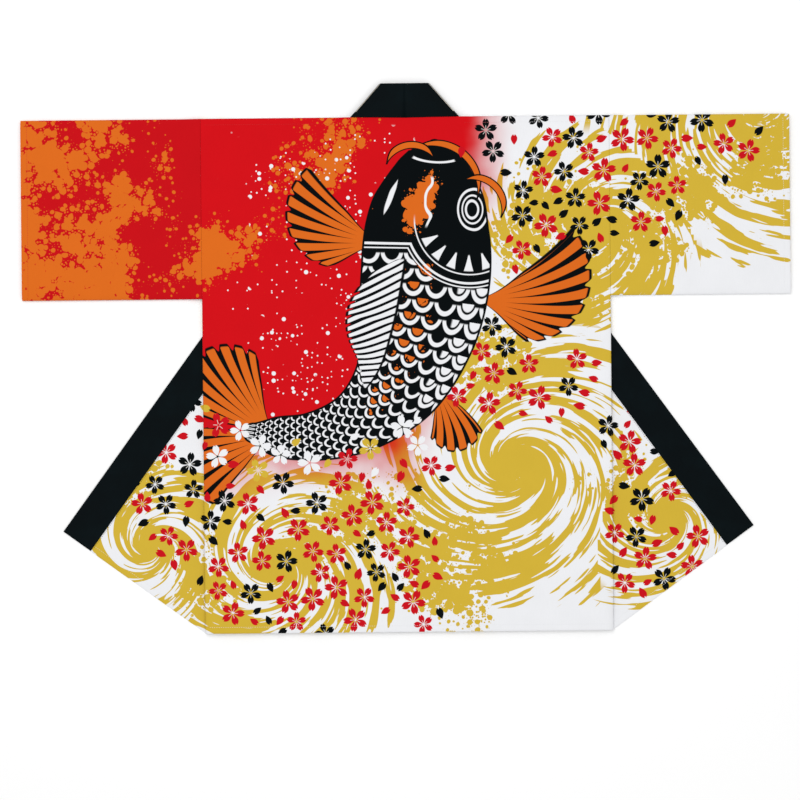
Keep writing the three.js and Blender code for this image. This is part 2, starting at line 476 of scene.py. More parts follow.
def seam_lift(side: Side, x: float, y: float) -> float:
    """How much of its full rise the front has, from 0 at the crease to 1 well away from it.

    Args:
        side: which front.
        x: place across the coat.
        y: place along the coat.

    Returns:
        The share of the rise.
    """
    crease = front_crease(side)
    still = (Vector((x, y)) - crease.start).dot(crease.still_side)
    return smooth(3 * MM, 22 * MM, still)


def edge_drop(x: float, y: float, radius: float) -> float:
    """How far the body's cloth has left its own level on the way to its seams: 1 at a seam.

    Args:
        x: place across the coat.
        y: place along the coat.
        radius: how wide the rounded edge is.

    Returns:
        0 away from the seams, 1 at the side and shoulder seams.
    """
    across = max(1 - (COAT.half_body - abs(x)) / radius, 0.0)
    if y > COAT.underarm:
        across *= min(max(1 - (y - COAT.underarm) / radius, 0.0), 1.0)
    beside_neck = smooth(COAT.neck_base + 2 * MM, COAT.neck_base + 18 * MM, abs(x))
    up = min(max(1 - (COAT.shoulder - y) / radius, 0.0), 1.0) * beside_neck
    return 1 - math.sqrt(max(1 - across * across - up * up, 0.0))


def seam_groove(distance: float) -> float:
    """The shallow groove beside the armhole seam."""
    depth, width = 0.45 * MM, 1.6 * MM
    return -depth * math.exp(-((distance / width) ** 2))


# ---------------------------------------------------------------- where the print's parts fall


def ramp(low: float, high: float, values: np.ndarray) -> np.ndarray:
    """A smooth step over many values, from 0 at low to 1 at high."""
    t = np.clip((values - low) / (high - low), 0.0, 1.0)
    return t * t * (3 - 2 * t)


def apart(places: np.ndarray, others: np.ndarray) -> np.ndarray:
    """The distance from each place, in rows, to each of the others, in columns."""
    return np.hypot(places[:, None, 0] - others[None, :, 0], places[:, None, 1] - others[None, :, 1])


@dataclass(frozen=True)
class Corners:
    """The corners of a flat cloth's faces: where each is on the print, and which face it belongs to."""

    mesh: bpy.types.Mesh
    places: np.ndarray
    face: np.ndarray
    centres: np.ndarray

    @staticmethod
    def of(mesh: bpy.types.Mesh) -> "Corners":
        """Reads a mesh that has its pattern map.

        Args:
            mesh: the flat cloth's mesh.

        Returns:
            Its corners.
        """
        places = np.zeros(len(mesh.loops) * 2)
        mesh.uv_layers[PATTERN_MAP].uv.foreach_get("vector", places)
        places = places.reshape(-1, 2)
        totals = np.zeros(len(mesh.polygons), int)
        mesh.polygons.foreach_get("loop_total", totals)
        face = np.repeat(np.arange(len(totals)), totals)
        sums = [np.bincount(face, weights=places[:, axis]) / totals for axis in (0, 1)]
        return Corners(mesh, places, face, np.stack(sums, axis=1))

    def write_map(self, name: str, values: np.ndarray) -> None:
        """Writes two numbers at each corner as a map."""
        layer = self.mesh.uv_layers.new(name=name, do_init=False)
        layer.uv.foreach_set("vector", np.ascontiguousarray(values, np.float32).ravel())

    def write_tint(self, name: str, values: np.ndarray) -> None:
        """Writes four numbers at each corner as a tint."""
        made = self.mesh.attributes.new(name, "FLOAT_COLOR", "CORNER")
        made.data.foreach_set("color", np.ascontiguousarray(values, np.float32).ravel())


# ---------------------------------------------------------------- the printed blossoms

FAR_AWAY = 9.0


@dataclass(frozen=True)
class Spray:
    """A group of blossoms on the print: its middle and size in metres from the hem's middle."""

    x: float
    y: float
    radius: float
    blossoms: int
    petals: int


SPRAYS = (
    Spray(0.176, 0.748, 0.066, 9, 6),
    Spray(0.240, 0.690, 0.080, 13, 8),
    Spray(0.300, 0.762, 0.055, 6, 4),
    Spray(0.372, 0.730, 0.070, 12, 7),
    Spray(0.372, 0.640, 0.040, 1, 6),
    Spray(0.500, 0.776, 0.060, 4, 5),
    Spray(0.232, 0.610, 0.060, 7, 6),
    Spray(0.120, 0.440, 0.045, 6, 4),
    Spray(0.220, 0.405, 0.060, 5, 8),
    Spray(0.092, 0.335, 0.040, 3, 5),
    Spray(-0.245, 0.255, 0.066, 9, 7),
    Spray(-0.165, 0.175, 0.090, 15, 9),
    Spray(-0.060, 0.150, 0.080, 12, 8),
    Spray(-0.120, 0.070, 0.080, 10, 8),
    Spray(-0.250, 0.090, 0.066, 7, 7),
    Spray(-0.030, 0.250, 0.075, 9, 8),
    Spray(0.020, 0.060, 0.050, 2, 5),
    Spray(-0.372, 0.235, 0.060, 8, 6),
    Spray(-0.350, 0.165, 0.050, 5, 5),
    Spray(-0.405, 0.300, 0.040, 3, 5),
    Spray(-0.330, 0.330, 0.040, 2, 5),
    Spray(0.350, 0.310, 0.042, 6, 4),
    Spray(0.385, 0.240, 0.050, 6, 4),
    Spray(0.350, 0.170, 0.040, 2, 6),
    Spray(0.365, 0.100, 0.040, 4, 4),
    Spray(0.440, 0.120, 0.040, 3, 4),
)


class StampKind(Enum):
    """A whole blossom or a loose petal, as the number that the print reads."""

    BLOSSOM = 1.0
    PETAL = 0.5


@dataclass(frozen=True)
class Stamps:
    """Where the blossoms and loose petals fall, worked out once from one seed."""

    sprays: tuple[Spray, ...]
    seed: int
    blossom_size: float = 0.0185
    petal_size: float = 0.0090
    petal_spill: float = 1.35
    closeness: float = 0.92
    tries: int = 24
    reach: float = 6 * MM
    whisker_tip: Point = (0.112, 0.684)
    whisker_room: float = 0.048
    body_from: float = 0.34
    light_left: float = -0.32
    light_right: float = 0.02
    light_base: float = 0.235
    red: Colour = (0.56, 0.0050, 0.0120)
    black: Colour = (0.0012, 0.0026, 0.0034)
    white: Colour = (0.815, 0.822, 0.845)
    gold: Colour = (0.62, 0.425, 0.040)

    def places(self) -> np.ndarray:
        """Scatters the stamps.

        Returns:
            One row for each: x, y, size, turn, red, green, blue, and 1 for a blossom or 0.5 for a petal.
        """
        random = np.random.default_rng(self.seed)
        kept: list[list[float]] = []
        for spray in self.sprays:
            for kind, wanted in ((StampKind.BLOSSOM, spray.blossoms), (StampKind.PETAL, spray.petals)):
                for _ in range(wanted):
                    self.drop(spray, kind, kept, random)
        return np.array(kept)

    def drop(
        self, spray: Spray, kind: StampKind, kept: list[list[float]], random: np.random.Generator
    ) -> None:
        """Lets one stamp fall in a spray, where it is clear of the others and of the koi.

        Args:
            spray: the group that it belongs to.
            kind: a blossom or a petal.
            kept: the stamps that have fallen, to which it is added.
            random: the source of chance.
        """
        size, spill = self.blossom_size, 1.0
        if kind is StampKind.PETAL:
            size, spill = self.petal_size, self.petal_spill
        for _ in range(self.tries):
            distance = spray.radius * spill * math.sqrt(random.random())
            turn = random.random() * math.tau
            x = spray.x + distance * math.cos(turn)
            y = spray.y + distance * math.sin(turn)
            own = size * random.uniform(0.86, 1.12)
            gaps = (math.hypot(x - k[0], y - k[1]) - self.closeness * (k[2] + own) for k in kept)
            if self.clear_of_koi(x, y, own) and all(gap > 0 for gap in gaps):
                spin = random.random() * math.tau
                kept.append([x, y, own, spin, *self.tint(x, y, random), kind.value])
                return

    def clear_of_koi(self, x: float, y: float, size: float) -> bool:
        """Whether a stamp leaves the koi's fins and upper body in full view.

        Args:
            x: the stamp's place across.
            y: its place from the hem.
            size: its radius.

        Returns:
            True if it does.
        """
        if math.hypot(x - self.whisker_tip[0], y - self.whisker_tip[1]) < self.whisker_room:
            return False
        place = np.array([[x, y]])
        if y > self.body_from and KOI.measure(place)[3][0] > -size * 0.7:
            return False
        for fin in BODY_FINS:
            along, aside = fin.local(place)
            bearing = abs(math.atan2(aside[0], along[0]))
            if math.hypot(along[0], aside[0]) < 1.05 and bearing < fin.spread * 1.1:
                return False
        return True

    def tint(self, x: float, y: float, random: np.random.Generator) -> Colour:
        """Picks a stamp's colour: red or black, and white or gold too where the ground is red.

        Args:
            x: the stamp's place across.
            y: its place from the hem.
            random: the source of chance.

        Returns:
            The colour.
        """
        pick = random.random()
        lower_edge = self.light_base + 0.2 * (x + 0.1) ** 2
        if self.light_left < x < self.light_right and y > lower_edge:
            return self.white if pick < 0.45 else self.gold if pick < 0.6 else self.red
        return self.red if pick < 0.62 else self.black

    def write(self, corners: Corners) -> None:
        """Writes the two nearest stamps of each face as maps and tints.

        Args:
            corners: the corners of the flat cloth's faces.
        """
        stamps = self.places()
        gap = apart(corners.centres, stamps) - stamps[None, :, 2]
        order = np.argsort(gap, axis=1)
        for rank, letter in enumerate("ab"):
            chosen = order[:, rank]
            near = (gap[np.arange(len(gap)), chosen] < self.reach)[corners.face]
            x, y, size, turn, red, green, blue, kind = stamps[chosen[corners.face]].T
            dx, dy = corners.places[:, 0] - x, corners.places[:, 1] - y
            cosine, sine = np.cos(turn) / size, np.sin(turn) / size
            local = np.stack([cosine * dx + sine * dy, cosine * dy - sine * dx], axis=1)
            tints = np.stack([red, green, blue, kind], axis=1)
            corners.write_map(f"blossom_{letter}", np.where(near[:, None], local, FAR_AWAY))
            corners.write_tint(f"tint_{letter}", tints * near[:, None])


PRINTED_STAMPS = Stamps(SPRAYS, seed=41)


# ---------------------------------------------------------------- the printed koi


@dataclass(frozen=True)
class Koi:
    """The print's carp: a spine from the mouth to the tail, with the body's half width along it."""

    spine: tuple[Point, ...] = (
        (0.046, 0.753), (0.046, 0.748), (0.045, 0.738), (0.043, 0.715), (0.040, 0.680), (0.034, 0.630),
        (0.030, 0.550), (0.016, 0.465), (-0.016, 0.385), (-0.080, 0.326), (-0.155, 0.304), (-0.212, 0.306),
        (-0.240, 0.311),
    )
    half_widths: tuple[float, ...] = (
        0.012, 0.031, 0.045, 0.063, 0.083, 0.096, 0.101, 0.092, 0.072, 0.050, 0.037, 0.029, 0.016,
    )

    def samples(self, count: int = 500) -> tuple[np.ndarray, np.ndarray, np.ndarray]:
        """Walks the spine.

        Args:
            count: how many places to take.

        Returns:
            The places, the distance along the spine and the half width at each.
        """
        points = np.array(self.spine)
        steps = np.concatenate([[0.0], np.cumsum(np.hypot(*np.diff(points, axis=0).T))])
        dense = np.linspace(0, steps[-1], count)
        places = np.stack([smooth_through(steps, points[:, axis], dense) for axis in (0, 1)], axis=1)
        widths = smooth_through(steps, np.array(self.half_widths), dense)
        run = np.concatenate([[0.0], np.cumsum(np.hypot(*np.diff(places, axis=0).T))])
        return places, run, widths

    def measure(self, places: np.ndarray) -> tuple[np.ndarray, np.ndarray, np.ndarray, np.ndarray]:
        """Finds where places on the print are on the carp.

        Args:
            places: the places, in metres from the hem's middle.

        Returns:
            The scale row, the place across from -1 to 1, the distance from the mouth, and the distance
            inside the outline.
        """
        spine, run, widths = self.samples()
        tangents = np.gradient(spine, axis=0)
        tangents /= np.hypot(tangents[:, 0], tangents[:, 1])[:, None]
        normals = np.stack([-tangents[:, 1], tangents[:, 0]], axis=1)
        rows = np.concatenate([[0.0], np.cumsum(np.diff(run) / (0.230 * widths[1:] + 0.0016))])
        parts = np.array_split(places, 12)
        nearest = np.concatenate([np.argmin(apart(part, spine), axis=1) for part in parts])
        offset = places - spine[nearest]
        distance = run[nearest] + np.sum(offset * tangents[nearest], axis=1)
        aside = np.sum(offset * normals[nearest], axis=1)
        width = np.interp(distance, run, widths)
        beyond = np.maximum(-distance, distance - run[-1])
        inside = np.where(beyond > 0, width - np.hypot(aside, beyond), width - np.abs(aside))
        return np.interp(distance, run, rows), aside / width, distance, inside

    def write(self, corners: Corners) -> None:
        """Writes the carp's own coordinates and its fins' on a cloth.

        The map "fish" holds the scale row and the place across. The tint "fish_size" holds the distance
        from the mouth and the distance inside the outline. The map "fin" holds the nearest fin's own
        coordinates, and the tint "fin_kind" its spread, rays, bend and skew.

        Args:
            corners: the corners of the flat cloth's faces.
        """
        row, across, distance, inside = self.measure(corners.places)
        corners.write_map("fish", np.stack([row, across], axis=1))
        blank = np.zeros_like(row)
        corners.write_tint("fish_size", np.stack([distance, inside, blank, blank], axis=1))
        local = np.full((len(corners.places), 2), FAR_AWAY)
        kind = np.zeros((len(corners.places), 4))
        least_past = np.full(len(corners.centres), 0.5)
        for fin in BODY_FINS + TAIL_FINS:
            u, v = fin.local(corners.places)
            mid_u, mid_v = fin.local(corners.centres)
            past_edge = np.abs(np.arctan2(mid_v, mid_u)) - fin.spread
            held = (np.hypot(mid_u, mid_v) < 1.15) & (past_edge < least_past)
            least_past = np.where(held, past_edge, least_past)
            chosen = held[corners.face]
            local[chosen] = np.stack([u, v], axis=1)[chosen]
            kind[chosen] = (fin.spread, fin.rays, fin.bend, fin.skew)
        corners.write_map("fin", local)
        corners.write_tint("fin_kind", kind)


def smooth_through(at: np.ndarray, values: np.ndarray, wanted: np.ndarray) -> np.ndarray:
    """Smoothly joins values with a cubic through each one.

    Args:
        at: where the values are.
        values: the values.
        wanted: where to read the curve.

    Returns:
        The curve's values.
    """
    slopes = np.gradient(values, at)
    k = np.clip(np.searchsorted(at, wanted, side="right") - 1, 0, len(at) - 2)
    span = at[k + 1] - at[k]
    t = (wanted - at[k]) / span
    first = (2 * t**3 - 3 * t**2 + 1) * values[k] + (t**3 - 2 * t**2 + t) * span * slopes[k]
    second = (-2 * t**3 + 3 * t**2) * values[k + 1] + (t**3 - t**2) * span * slopes[k + 1]
    return first + second


@dataclass(frozen=True)
class FinShape:
    """One of the koi's fins: its root, the way it points, half its spread, its length and its rays.

    Bend curves the rays, and skew makes one edge longer than the other.
    """

    root_x: float
    root_y: float
    heading: float
    spread: float
    length: float
    rays: float
    bend: float
    skew: float

    def local(self, places: np.ndarray) -> tuple[np.ndarray, np.ndarray]:
        """Places along and across the fin, in lengths of the fin from its root."""
        dx, dy = places[:, 0] - self.root_x, places[:, 1] - self.root_y
        cosine, sine = math.cos(self.heading) / self.length, math.sin(self.heading) / self.length
        return cosine * dx + sine * dy, cosine * dy - sine * dx


BODY_FINS = (
    FinShape(-0.040, 0.604, 2.98, 0.62, 0.150, 8.0, 0.05, -0.26),
    FinShape(0.112, 0.515, -0.12, 0.66, 0.170, 9.0, -0.10, 0.26),
    FinShape(0.042, 0.382, -1.10, 0.48, 0.110, 5.0, 0.15, 0.10),
)
TAIL_FINS = (
    FinShape(-0.208, 0.306, 2.36, 0.56, 0.175, 8.0, 0.10, 0.10),
    FinShape(-0.208, 0.306, 3.46, 0.50, 0.150, 6.0, -0.06, 0.10),
)
KOI = Koi()


# ---------------------------------------------------------------- the print's ground


@dataclass(frozen=True)
class Whirl:
    """One whirlpool of the print: its middle, radius and winding."""

    x: float
    y: float
    radius: float
    twist: float
    seed: float


WHIRLS = (
    Whirl(0.168, 0.259, 0.235, 2.7, 1.0),
    Whirl(-0.203, 0.103, 0.180, 2.5, 5.0),
    Whirl(0.534, 0.812, 0.245, -2.4, 9.0),
    Whirl(0.300, 0.625, 0.165, 2.3, 14.0),
    Whirl(0.402, 0.173, 0.150, 2.6, 19.0),
    Whirl(-0.400, 0.134, 0.140, 2.5, 23.0),
)


@dataclass(frozen=True)
class RedGround:
    """The red part of the ground: left of a slanted edge, and above a lower edge, with a soft fade."""

    right_edge: float = 0.052
    slant: float = 0.27
    slant_from: float = 0.3
    lower_edge: float = 0.215
    fade: float = 0.090

    def depths(self, x: "np.ndarray | Signal", y: "np.ndarray | Signal") -> tuple:
        """How deep places are in the red, in fades, from its right edge and from its lower edge."""
        from_right = (self.right_edge + (y - self.slant_from) * self.slant - x) / self.fade
        return from_right, (y - self.lower_edge) / self.fade


RED_GROUND = RedGround()


@dataclass(frozen=True)
class Cloud:
    """A patch of splattered ink: its middle, its radius and how much ink it has."""

    x: float
    y: float
    radius: float
    amount: float


@dataclass(frozen=True)
class Wash:
    """Where the print is red, where its ink is splattered and where it is specked."""

    clouds: tuple[Cloud, ...] = (
        Cloud(0.06, 0.09, 0.13, 0.62),
        Cloud(0.38, 0.60, 0.08, 0.56),
        Cloud(0.42, 0.68, 0.10, 0.54),
        Cloud(0.42, 0.33, 0.08, 0.60),
        Cloud(-0.05, 0.19, 0.12, 0.50),
        Cloud(-0.42, 0.25, 0.08, 0.60),
        Cloud(0.24, 0.62, 0.14, 0.62),
        Cloud(-0.31, 0.09, 0.08, 0.56),
        Cloud(0.36, 0.22, 0.11, 0.52),
        Cloud(0.56, 0.74, 0.09, 0.58),
        Cloud(0.13, 0.42, 0.09, 0.55),
        Cloud(0.30, 0.50, 0.08, 0.50),
        Cloud(-0.13, 0.15, 0.08, 0.52),
        Cloud(0.17, 0.255, 0.05, 0.70),
    )
    orange_from: Point = (-0.085, 0.785)
    orange_to: Point = (-0.315, 0.560)
    no_red: float = -3.0
    crown_amount: float = 0.67
    back_amount: float = 0.57

    def write(self, corners: Corners, red_share: float, with_koi: bool) -> None:
        """Writes the tint "wash": red level, splatter, specks, and the sleeve's deeper red.

        Args:
            corners: the corners of the flat cloth's faces.
            red_share: 1 on a cloth that has the red ground, 0 on one that has none.
            with_koi: whether the cloth carries the koi.
        """
        x, y = corners.places.T
        red = np.clip(np.minimum(*RED_GROUND.depths(x, y)), self.no_red, -self.no_red)
        red = np.where(red_share > 0, red, self.no_red)
        on_left_sleeve = x < -COAT.half_body - 0.1 * MM
        orange = np.where(on_left_sleeve, np.maximum(self.sleeve_orange(x, y), self.orange(corners.places)),
                          self.orange(corners.places))
        amount = np.where(red > 0.4, orange, self.gold(x, y))
        if with_koi:
            amount = self.on_the_koi(corners.places, amount)
        specks = ramp(-0.30, -0.17, x) * ramp(0.06, -0.03, x) * ramp(0.27, 0.34, y) * ramp(0.80, 0.72, y)
        corners.write_tint("wash", np.stack([red, amount, specks, on_left_sleeve.astype(float)], axis=1))
        for rank, letter in enumerate("ab"):
            self.write_whirls(corners, rank, letter)

    def gold(self, x: np.ndarray, y: np.ndarray) -> np.ndarray:
        """How much gold ink is splattered at each place."""
        gold = np.zeros_like(x)
        for cloud in self.clouds:
            away = np.hypot(x - cloud.x, y - cloud.y) / cloud.radius
            gold = np.maximum(gold, cloud.amount * ramp(1.25, 0.2, away))
        return gold

    def orange(self, places: np.ndarray) -> np.ndarray:
        """How much orange ink the slanted band across the red has at each place."""
        start, end = np.array(self.orange_from), np.array(self.orange_to)
        run = end - start
        part = np.clip((places - start) @ run / (run @ run), -0.15, 1.15)
        off = np.hypot(*(places - start - part[:, None] * run).T)
        return 0.56 * ramp(0.090, 0.010, off) * (0.8 + 0.2 * np.sin(part * 9.0))

    def sleeve_orange(self, x: np.ndarray, y: np.ndarray) -> np.ndarray:
        """How much orange ink the left sleeve has: more to the cuff and low down, less in one corner."""
        bare_corner = ramp(-0.46, -0.38, x) * ramp(0.66, 0.76, y)
        return 0.30 + 0.20 * ramp(-0.36, -0.52, x) + 0.10 * ramp(0.70, 0.58, y) - 0.16 * bare_corner

    def on_the_koi(self, places: np.ndarray, amount: np.ndarray) -> np.ndarray:
        """Gives the koi its own orange patches, on its crown and along its back.

        Args:
            places: the places on the print.
            amount: the ink of the ground there.

        Returns:
            The ink with the koi's own inside its outline.
        """
        _, across, distance, inside = KOI.measure(places)
        middle = 0.06 - (distance - 0.03) * 3.4
        crown = ramp(1.25, 0.10, np.hypot((across - middle) / 0.40, (distance - 0.088) / 0.086))
        back = ramp(1.0, 0.4, np.hypot((across + 0.10) / 0.50, (distance - 0.33) / 0.20))
        own = np.maximum(self.crown_amount * crown, self.back_amount * back)
        return np.where(inside > 0, own, amount)

    def write_whirls(self, corners: Corners, rank: int, letter: str) -> None:
        """Writes the nearest whirl, or the next, of each face as a map and a tint.

        Args:
            corners: the corners of the flat cloth's faces.
            rank: 0 for the nearest, 1 for the next.
            letter: ends the names of the map and the tint.
        """
        table = np.array([(w.x, w.y, w.radius, w.twist, w.seed) for w in WHIRLS])
        away = apart(corners.centres, table)
        chosen = np.argsort(away / table[None, :, 2], axis=1)[:, rank]
        x, y, radius, twist, seed = table[chosen[corners.face]].T
        corners.write_map(f"whirl_{letter}", corners.places - np.stack([x, y], axis=1))
        kinds = np.stack([radius, twist, seed, np.ones_like(x)], axis=1)
        corners.write_tint(f"whirl_kind_{letter}", kinds)


def write_print(made: bpy.types.Object, red_share: float, with_koi: bool) -> None:
    """Writes every map and tint that the print reads, before the cloth is thickened.

    Args:
        made: the cloth.
        red_share: 1 on a cloth that has the red ground, 0 on one that has none.
        with_koi: whether the cloth carries the koi.
    """
    corners = Corners.of(made.data)
    Wash().write(corners, red_share, with_koi)
    PRINTED_STAMPS.write(corners)
    if with_koi:
        KOI.write(corners)


# ---------------------------------------------------------------- wiring of the finishes


class Signal:
    """One wire of a node tree, which can be added, multiplied and so on."""

    def __init__(self, net: "Net", socket: bpy.types.NodeSocket) -> None:
        """Holds a socket of a net."""
        self.net = net
        self.socket = socket

    def __add__(self, other: "Value") -> "Signal":
        """The sum."""
        return self.net.math("ADD", self, other)

    def __sub__(self, other: "Value") -> "Signal":
        """The difference."""
        return self.net.math("SUBTRACT", self, other)

    def __rsub__(self, other: float) -> "Signal":
        """The difference the other way."""
        return self.net.math("SUBTRACT", other, self)

    def __mul__(self, other: "Value") -> "Signal":
        """The product."""
        return self.net.math("MULTIPLY", self, other)

    def __truediv__(self, other: "Value") -> "Signal":
        """The quotient."""
        return self.net.math("DIVIDE", self, other)

    __radd__ = __add__
    __rmul__ = __mul__


Value = Signal | float


class Net:
    """Builds a node tree from short sums."""

    def __init__(self, tree: bpy.types.NodeTree) -> None:
        """Holds the tree to build in."""
        self.tree = tree

    def node(self, kind: str, **settings: object) -> bpy.types.Node:
        """Adds a node and sets its options."""
        made = self.tree.nodes.new(kind)
        for key, value in settings.items():
            setattr(made, key, value)
        return made

    def put(self, socket: bpy.types.NodeSocket, value: object) -> None:
        """Joins a wire to a socket, or sets the socket's own value."""
        if isinstance(value, Signal):
            self.tree.links.new(value.socket, socket)
        elif isinstance(value, tuple) and len(value) == 3 and socket.type == "RGBA":
            socket.default_value = (*value, 1.0)
        else:
            socket.default_value = value

    def math(self, operation: str, *values: Value) -> Signal:
        """Adds a sum of one, two or three values."""
        made = self.node("ShaderNodeMath", operation=operation)
        for socket, value in zip(made.inputs, values):
            self.put(socket, value)
        return Signal(self, made.outputs[0])

    def size(self, value: Signal) -> Signal:
        """The value without its sign."""
        return self.math("ABSOLUTE", value)

    def far(self, x: Signal, y: Signal) -> Signal:
        """How far a place is from the middle."""
        return self.math("SQRT", x * x + y * y)

    def least(self, *values: Signal) -> Signal:
        """The least of the values, which is where masks meet."""
        kept = values[0]
        for value in values[1:]:
            kept = self.math("MINIMUM", kept, value)
        return kept

    def most(self, *values: Signal) -> Signal:
        """The greatest of the values, which is masks taken together."""
        kept = values[0]
        for value in values[1:]:
            kept = self.math("MAXIMUM", kept, value)
        return kept

    def step(self, low: Value, high: Value, value: Signal) -> Signal:
        """A smooth step, from 0 at low to 1 at high."""
        made = self.node("ShaderNodeMapRange", interpolation_type="SMOOTHSTEP")
        for name, given in (("Value", value), ("From Min", low), ("From Max", high)):
            self.put(made.inputs[name], given)
        return Signal(self, made.outputs[0])

    def split(self, vector: Signal) -> tuple[Signal, Signal]:
        """The X and Y of a place."""
        made = self.node("ShaderNodeSeparateXYZ")
        self.put(made.inputs[0], vector)
        return Signal(self, made.outputs[0]), Signal(self, made.outputs[1])

    def join(self, x: Value, y: Value, z: Value = 0.0) -> Signal:
        """A place from its parts."""
        made = self.node("ShaderNodeCombineXYZ")
        for socket, value in zip(made.inputs, (x, y, z)):
            self.put(socket, value)
        return Signal(self, made.outputs[0])

    def noise(self, place: Signal, scale: float, detail: float = 2.0, rough: float = 0.5) -> Signal:
        """Soft noise around one half, scale features to the metre."""
        made = self.node("ShaderNodeTexNoise", noise_dimensions="3D")
        self.put(made.inputs["Vector"], place)
        for name, value in (("Scale", scale), ("Detail", detail), ("Roughness", rough)):
            made.inputs[name].default_value = value
        return Signal(self, made.outputs[0])

    def cells(self, place: Signal, scale: float) -> tuple[Signal, Signal]:
        """The distance to the nearest of scattered points, and a random number for each point."""
        made = self.node("ShaderNodeTexVoronoi", voronoi_dimensions="2D")
        self.put(made.inputs["Vector"], place)
        made.inputs["Scale"].default_value = scale
        shade = self.node("ShaderNodeSeparateColor")
        self.put(shade.inputs[0], Signal(self, made.outputs["Color"]))
        return Signal(self, made.outputs["Distance"]), Signal(self, shade.outputs[0])

    def mix(self, share: Value, under: object, over: object) -> Signal:
        """One colour over another."""
        made = self.node("ShaderNodeMix", data_type="RGBA")
        self.put(made.inputs[0], share)
        self.put(made.inputs[6], under)
        self.put(made.inputs[7], over)
        return Signal(self, made.outputs[2])

    def map(self, name: str) -> Signal:
        """One of the piece's own maps."""
        return Signal(self, self.node("ShaderNodeUVMap", uv_map=name).outputs[0])

    def parts(self, colour: Signal) -> list[Signal]:
        """The three numbers that a colour holds."""
        made = self.node("ShaderNodeSeparateColor")
        self.put(made.inputs[0], colour)
        return [Signal(self, socket) for socket in made.outputs]

    def attribute(self, name: str) -> tuple[Signal, Signal]:
        """The colour and the alpha of one of the piece's own tints."""
        made = self.node("ShaderNodeAttribute", attribute_name=name)
        return Signal(self, made.outputs["Color"]), Signal(self, made.outputs["Alpha"])

    def use(self, group: bpy.types.NodeTree, **values: object) -> list[Signal]:
        """Adds a shared effect.

        Args:
            group: the effect's node group.
            values: its inputs by name, with an underscore for each space.

        Returns:
            Its outputs in order.
        """
        made = self.node("ShaderNodeGroup", node_tree=group)
        for name, value in values.items():
            self.put(made.inputs[name.replace("_", " ")], value)
        return [Signal(self, socket) for socket in made.outputs]


def effect(
    name: str,
    inputs: Sequence[tuple[str, str]],
    outputs: Sequence[tuple[str, str]],
    wire: Callable[[Net, list[Signal]], Sequence[Signal]],
) -> bpy.types.NodeTree:
    """Makes a shared effect as a node group with named inputs and outputs.

    Args:
        name: the group's name.
        inputs: each input's name and kind, Vector, Float or Color.
        outputs: each output's name and kind.
        wire: takes the net and the inputs, and gives the outputs.

    Returns:
        The node group.
    """
    tree = bpy.data.node_groups.new(name, "ShaderNodeTree")
    for word, kind in inputs:
        tree.interface.new_socket(word, in_out="INPUT", socket_type=f"NodeSocket{kind}")
    for word, kind in outputs:
        tree.interface.new_socket(word, in_out="OUTPUT", socket_type=f"NodeSocket{kind}")
    net = Net(tree)
    entry, leave = net.node("NodeGroupInput"), net.node("NodeGroupOutput")
    given = [Signal(net, entry.outputs[k]) for k in range(len(inputs))]
    for socket, signal in zip(leave.inputs, wire(net, given)):
        tree.links.new(signal.socket, socket)
    return tree


# ---------------------------------------------------------------- the shared effects of the print


def weave_effect() -> bpy.types.NodeTree:
    """Plain weave: crossing threads as a height, and a faint unevenness of the dye."""

    def wire(net: Net, given: list[Signal]) -> Sequence[Signal]:
        x, y = net.split(given[0])
        wander = net.noise(given[0], 300.0, 2.0)
        across = net.math("SINE", (x + wander * 0.0004) * given[1])
        along = net.math("SINE", (y + wander * 0.0004) * given[1])
        over = net.size(across) * net.step(-0.4, 0.4, across * along)
        under = net.size(along) * (1.0 - net.step(-0.4, 0.4, across * along))
        slub = net.noise(net.join(x * 900.0, y * 60.0), 1.0, 3.0)
        shade = 0.94 + net.noise(given[0], 24.0, 3.0) * 0.07 + slub * 0.05
        return (over + under) * 0.6 + slub * 0.4, shade

    return effect("Plain Weave", [("Place", "Vector"), ("Thread Pitch", "Float")],
                  [("Height", "Float"), ("Shade", "Float")], wire)


def splatter_effect() -> bpy.types.NodeTree:
    """Splattered ink: round drops that run together where there is more of it."""

    def wire(net: Net, given: list[Signal]) -> Sequence[Signal]:
        place, amount = given
        cloud = (net.noise(place, 14.0, 3.0, 0.58) - 0.5) * 2.1
        drops, size = net.cells(place, 78.0)
        fine, fine_size = net.cells(place, 210.0)
        round_it = net.most(0.40 + size * 0.16 - drops, 0.22 + fine_size * 0.20 - fine)
        level = cloud + (amount - 0.5) * 1.3 + round_it * 0.75
        return (net.step(0.0, 0.035, level),)

    return effect("Splattered Ink", [("Place", "Vector"), ("Amount", "Float")], [("Ink", "Float")], wire)


def speck_effect() -> bpy.types.NodeTree:
    """Scattered round specks, as many as the amount allows."""

    def wire(net: Net, given: list[Signal]) -> Sequence[Signal]:
        place, amount = given
        fine, chance = net.cells(place, 130.0)
        coarse, coarse_chance = net.cells(place, 58.0)
        crowd = net.noise(place, 16.0, 2.0) * 1.1 - 0.46
        small_share = net.step(0.0, 0.03, chance - 1.0 + amount * crowd * 2.4)
        small = net.least(net.step(0.0, -0.04, fine - 0.20 * chance), small_share)
        large_share = net.step(0.0, 0.03, coarse_chance - 1.0 + amount * crowd * 2.2)
        large = net.least(net.step(0.0, -0.03, coarse - 0.06 - coarse_chance * 0.15), large_share)
        return (net.most(small, large),)

    return effect("Specks", [("Place", "Vector"), ("Amount", "Float")], [("Specks", "Float")], wire)


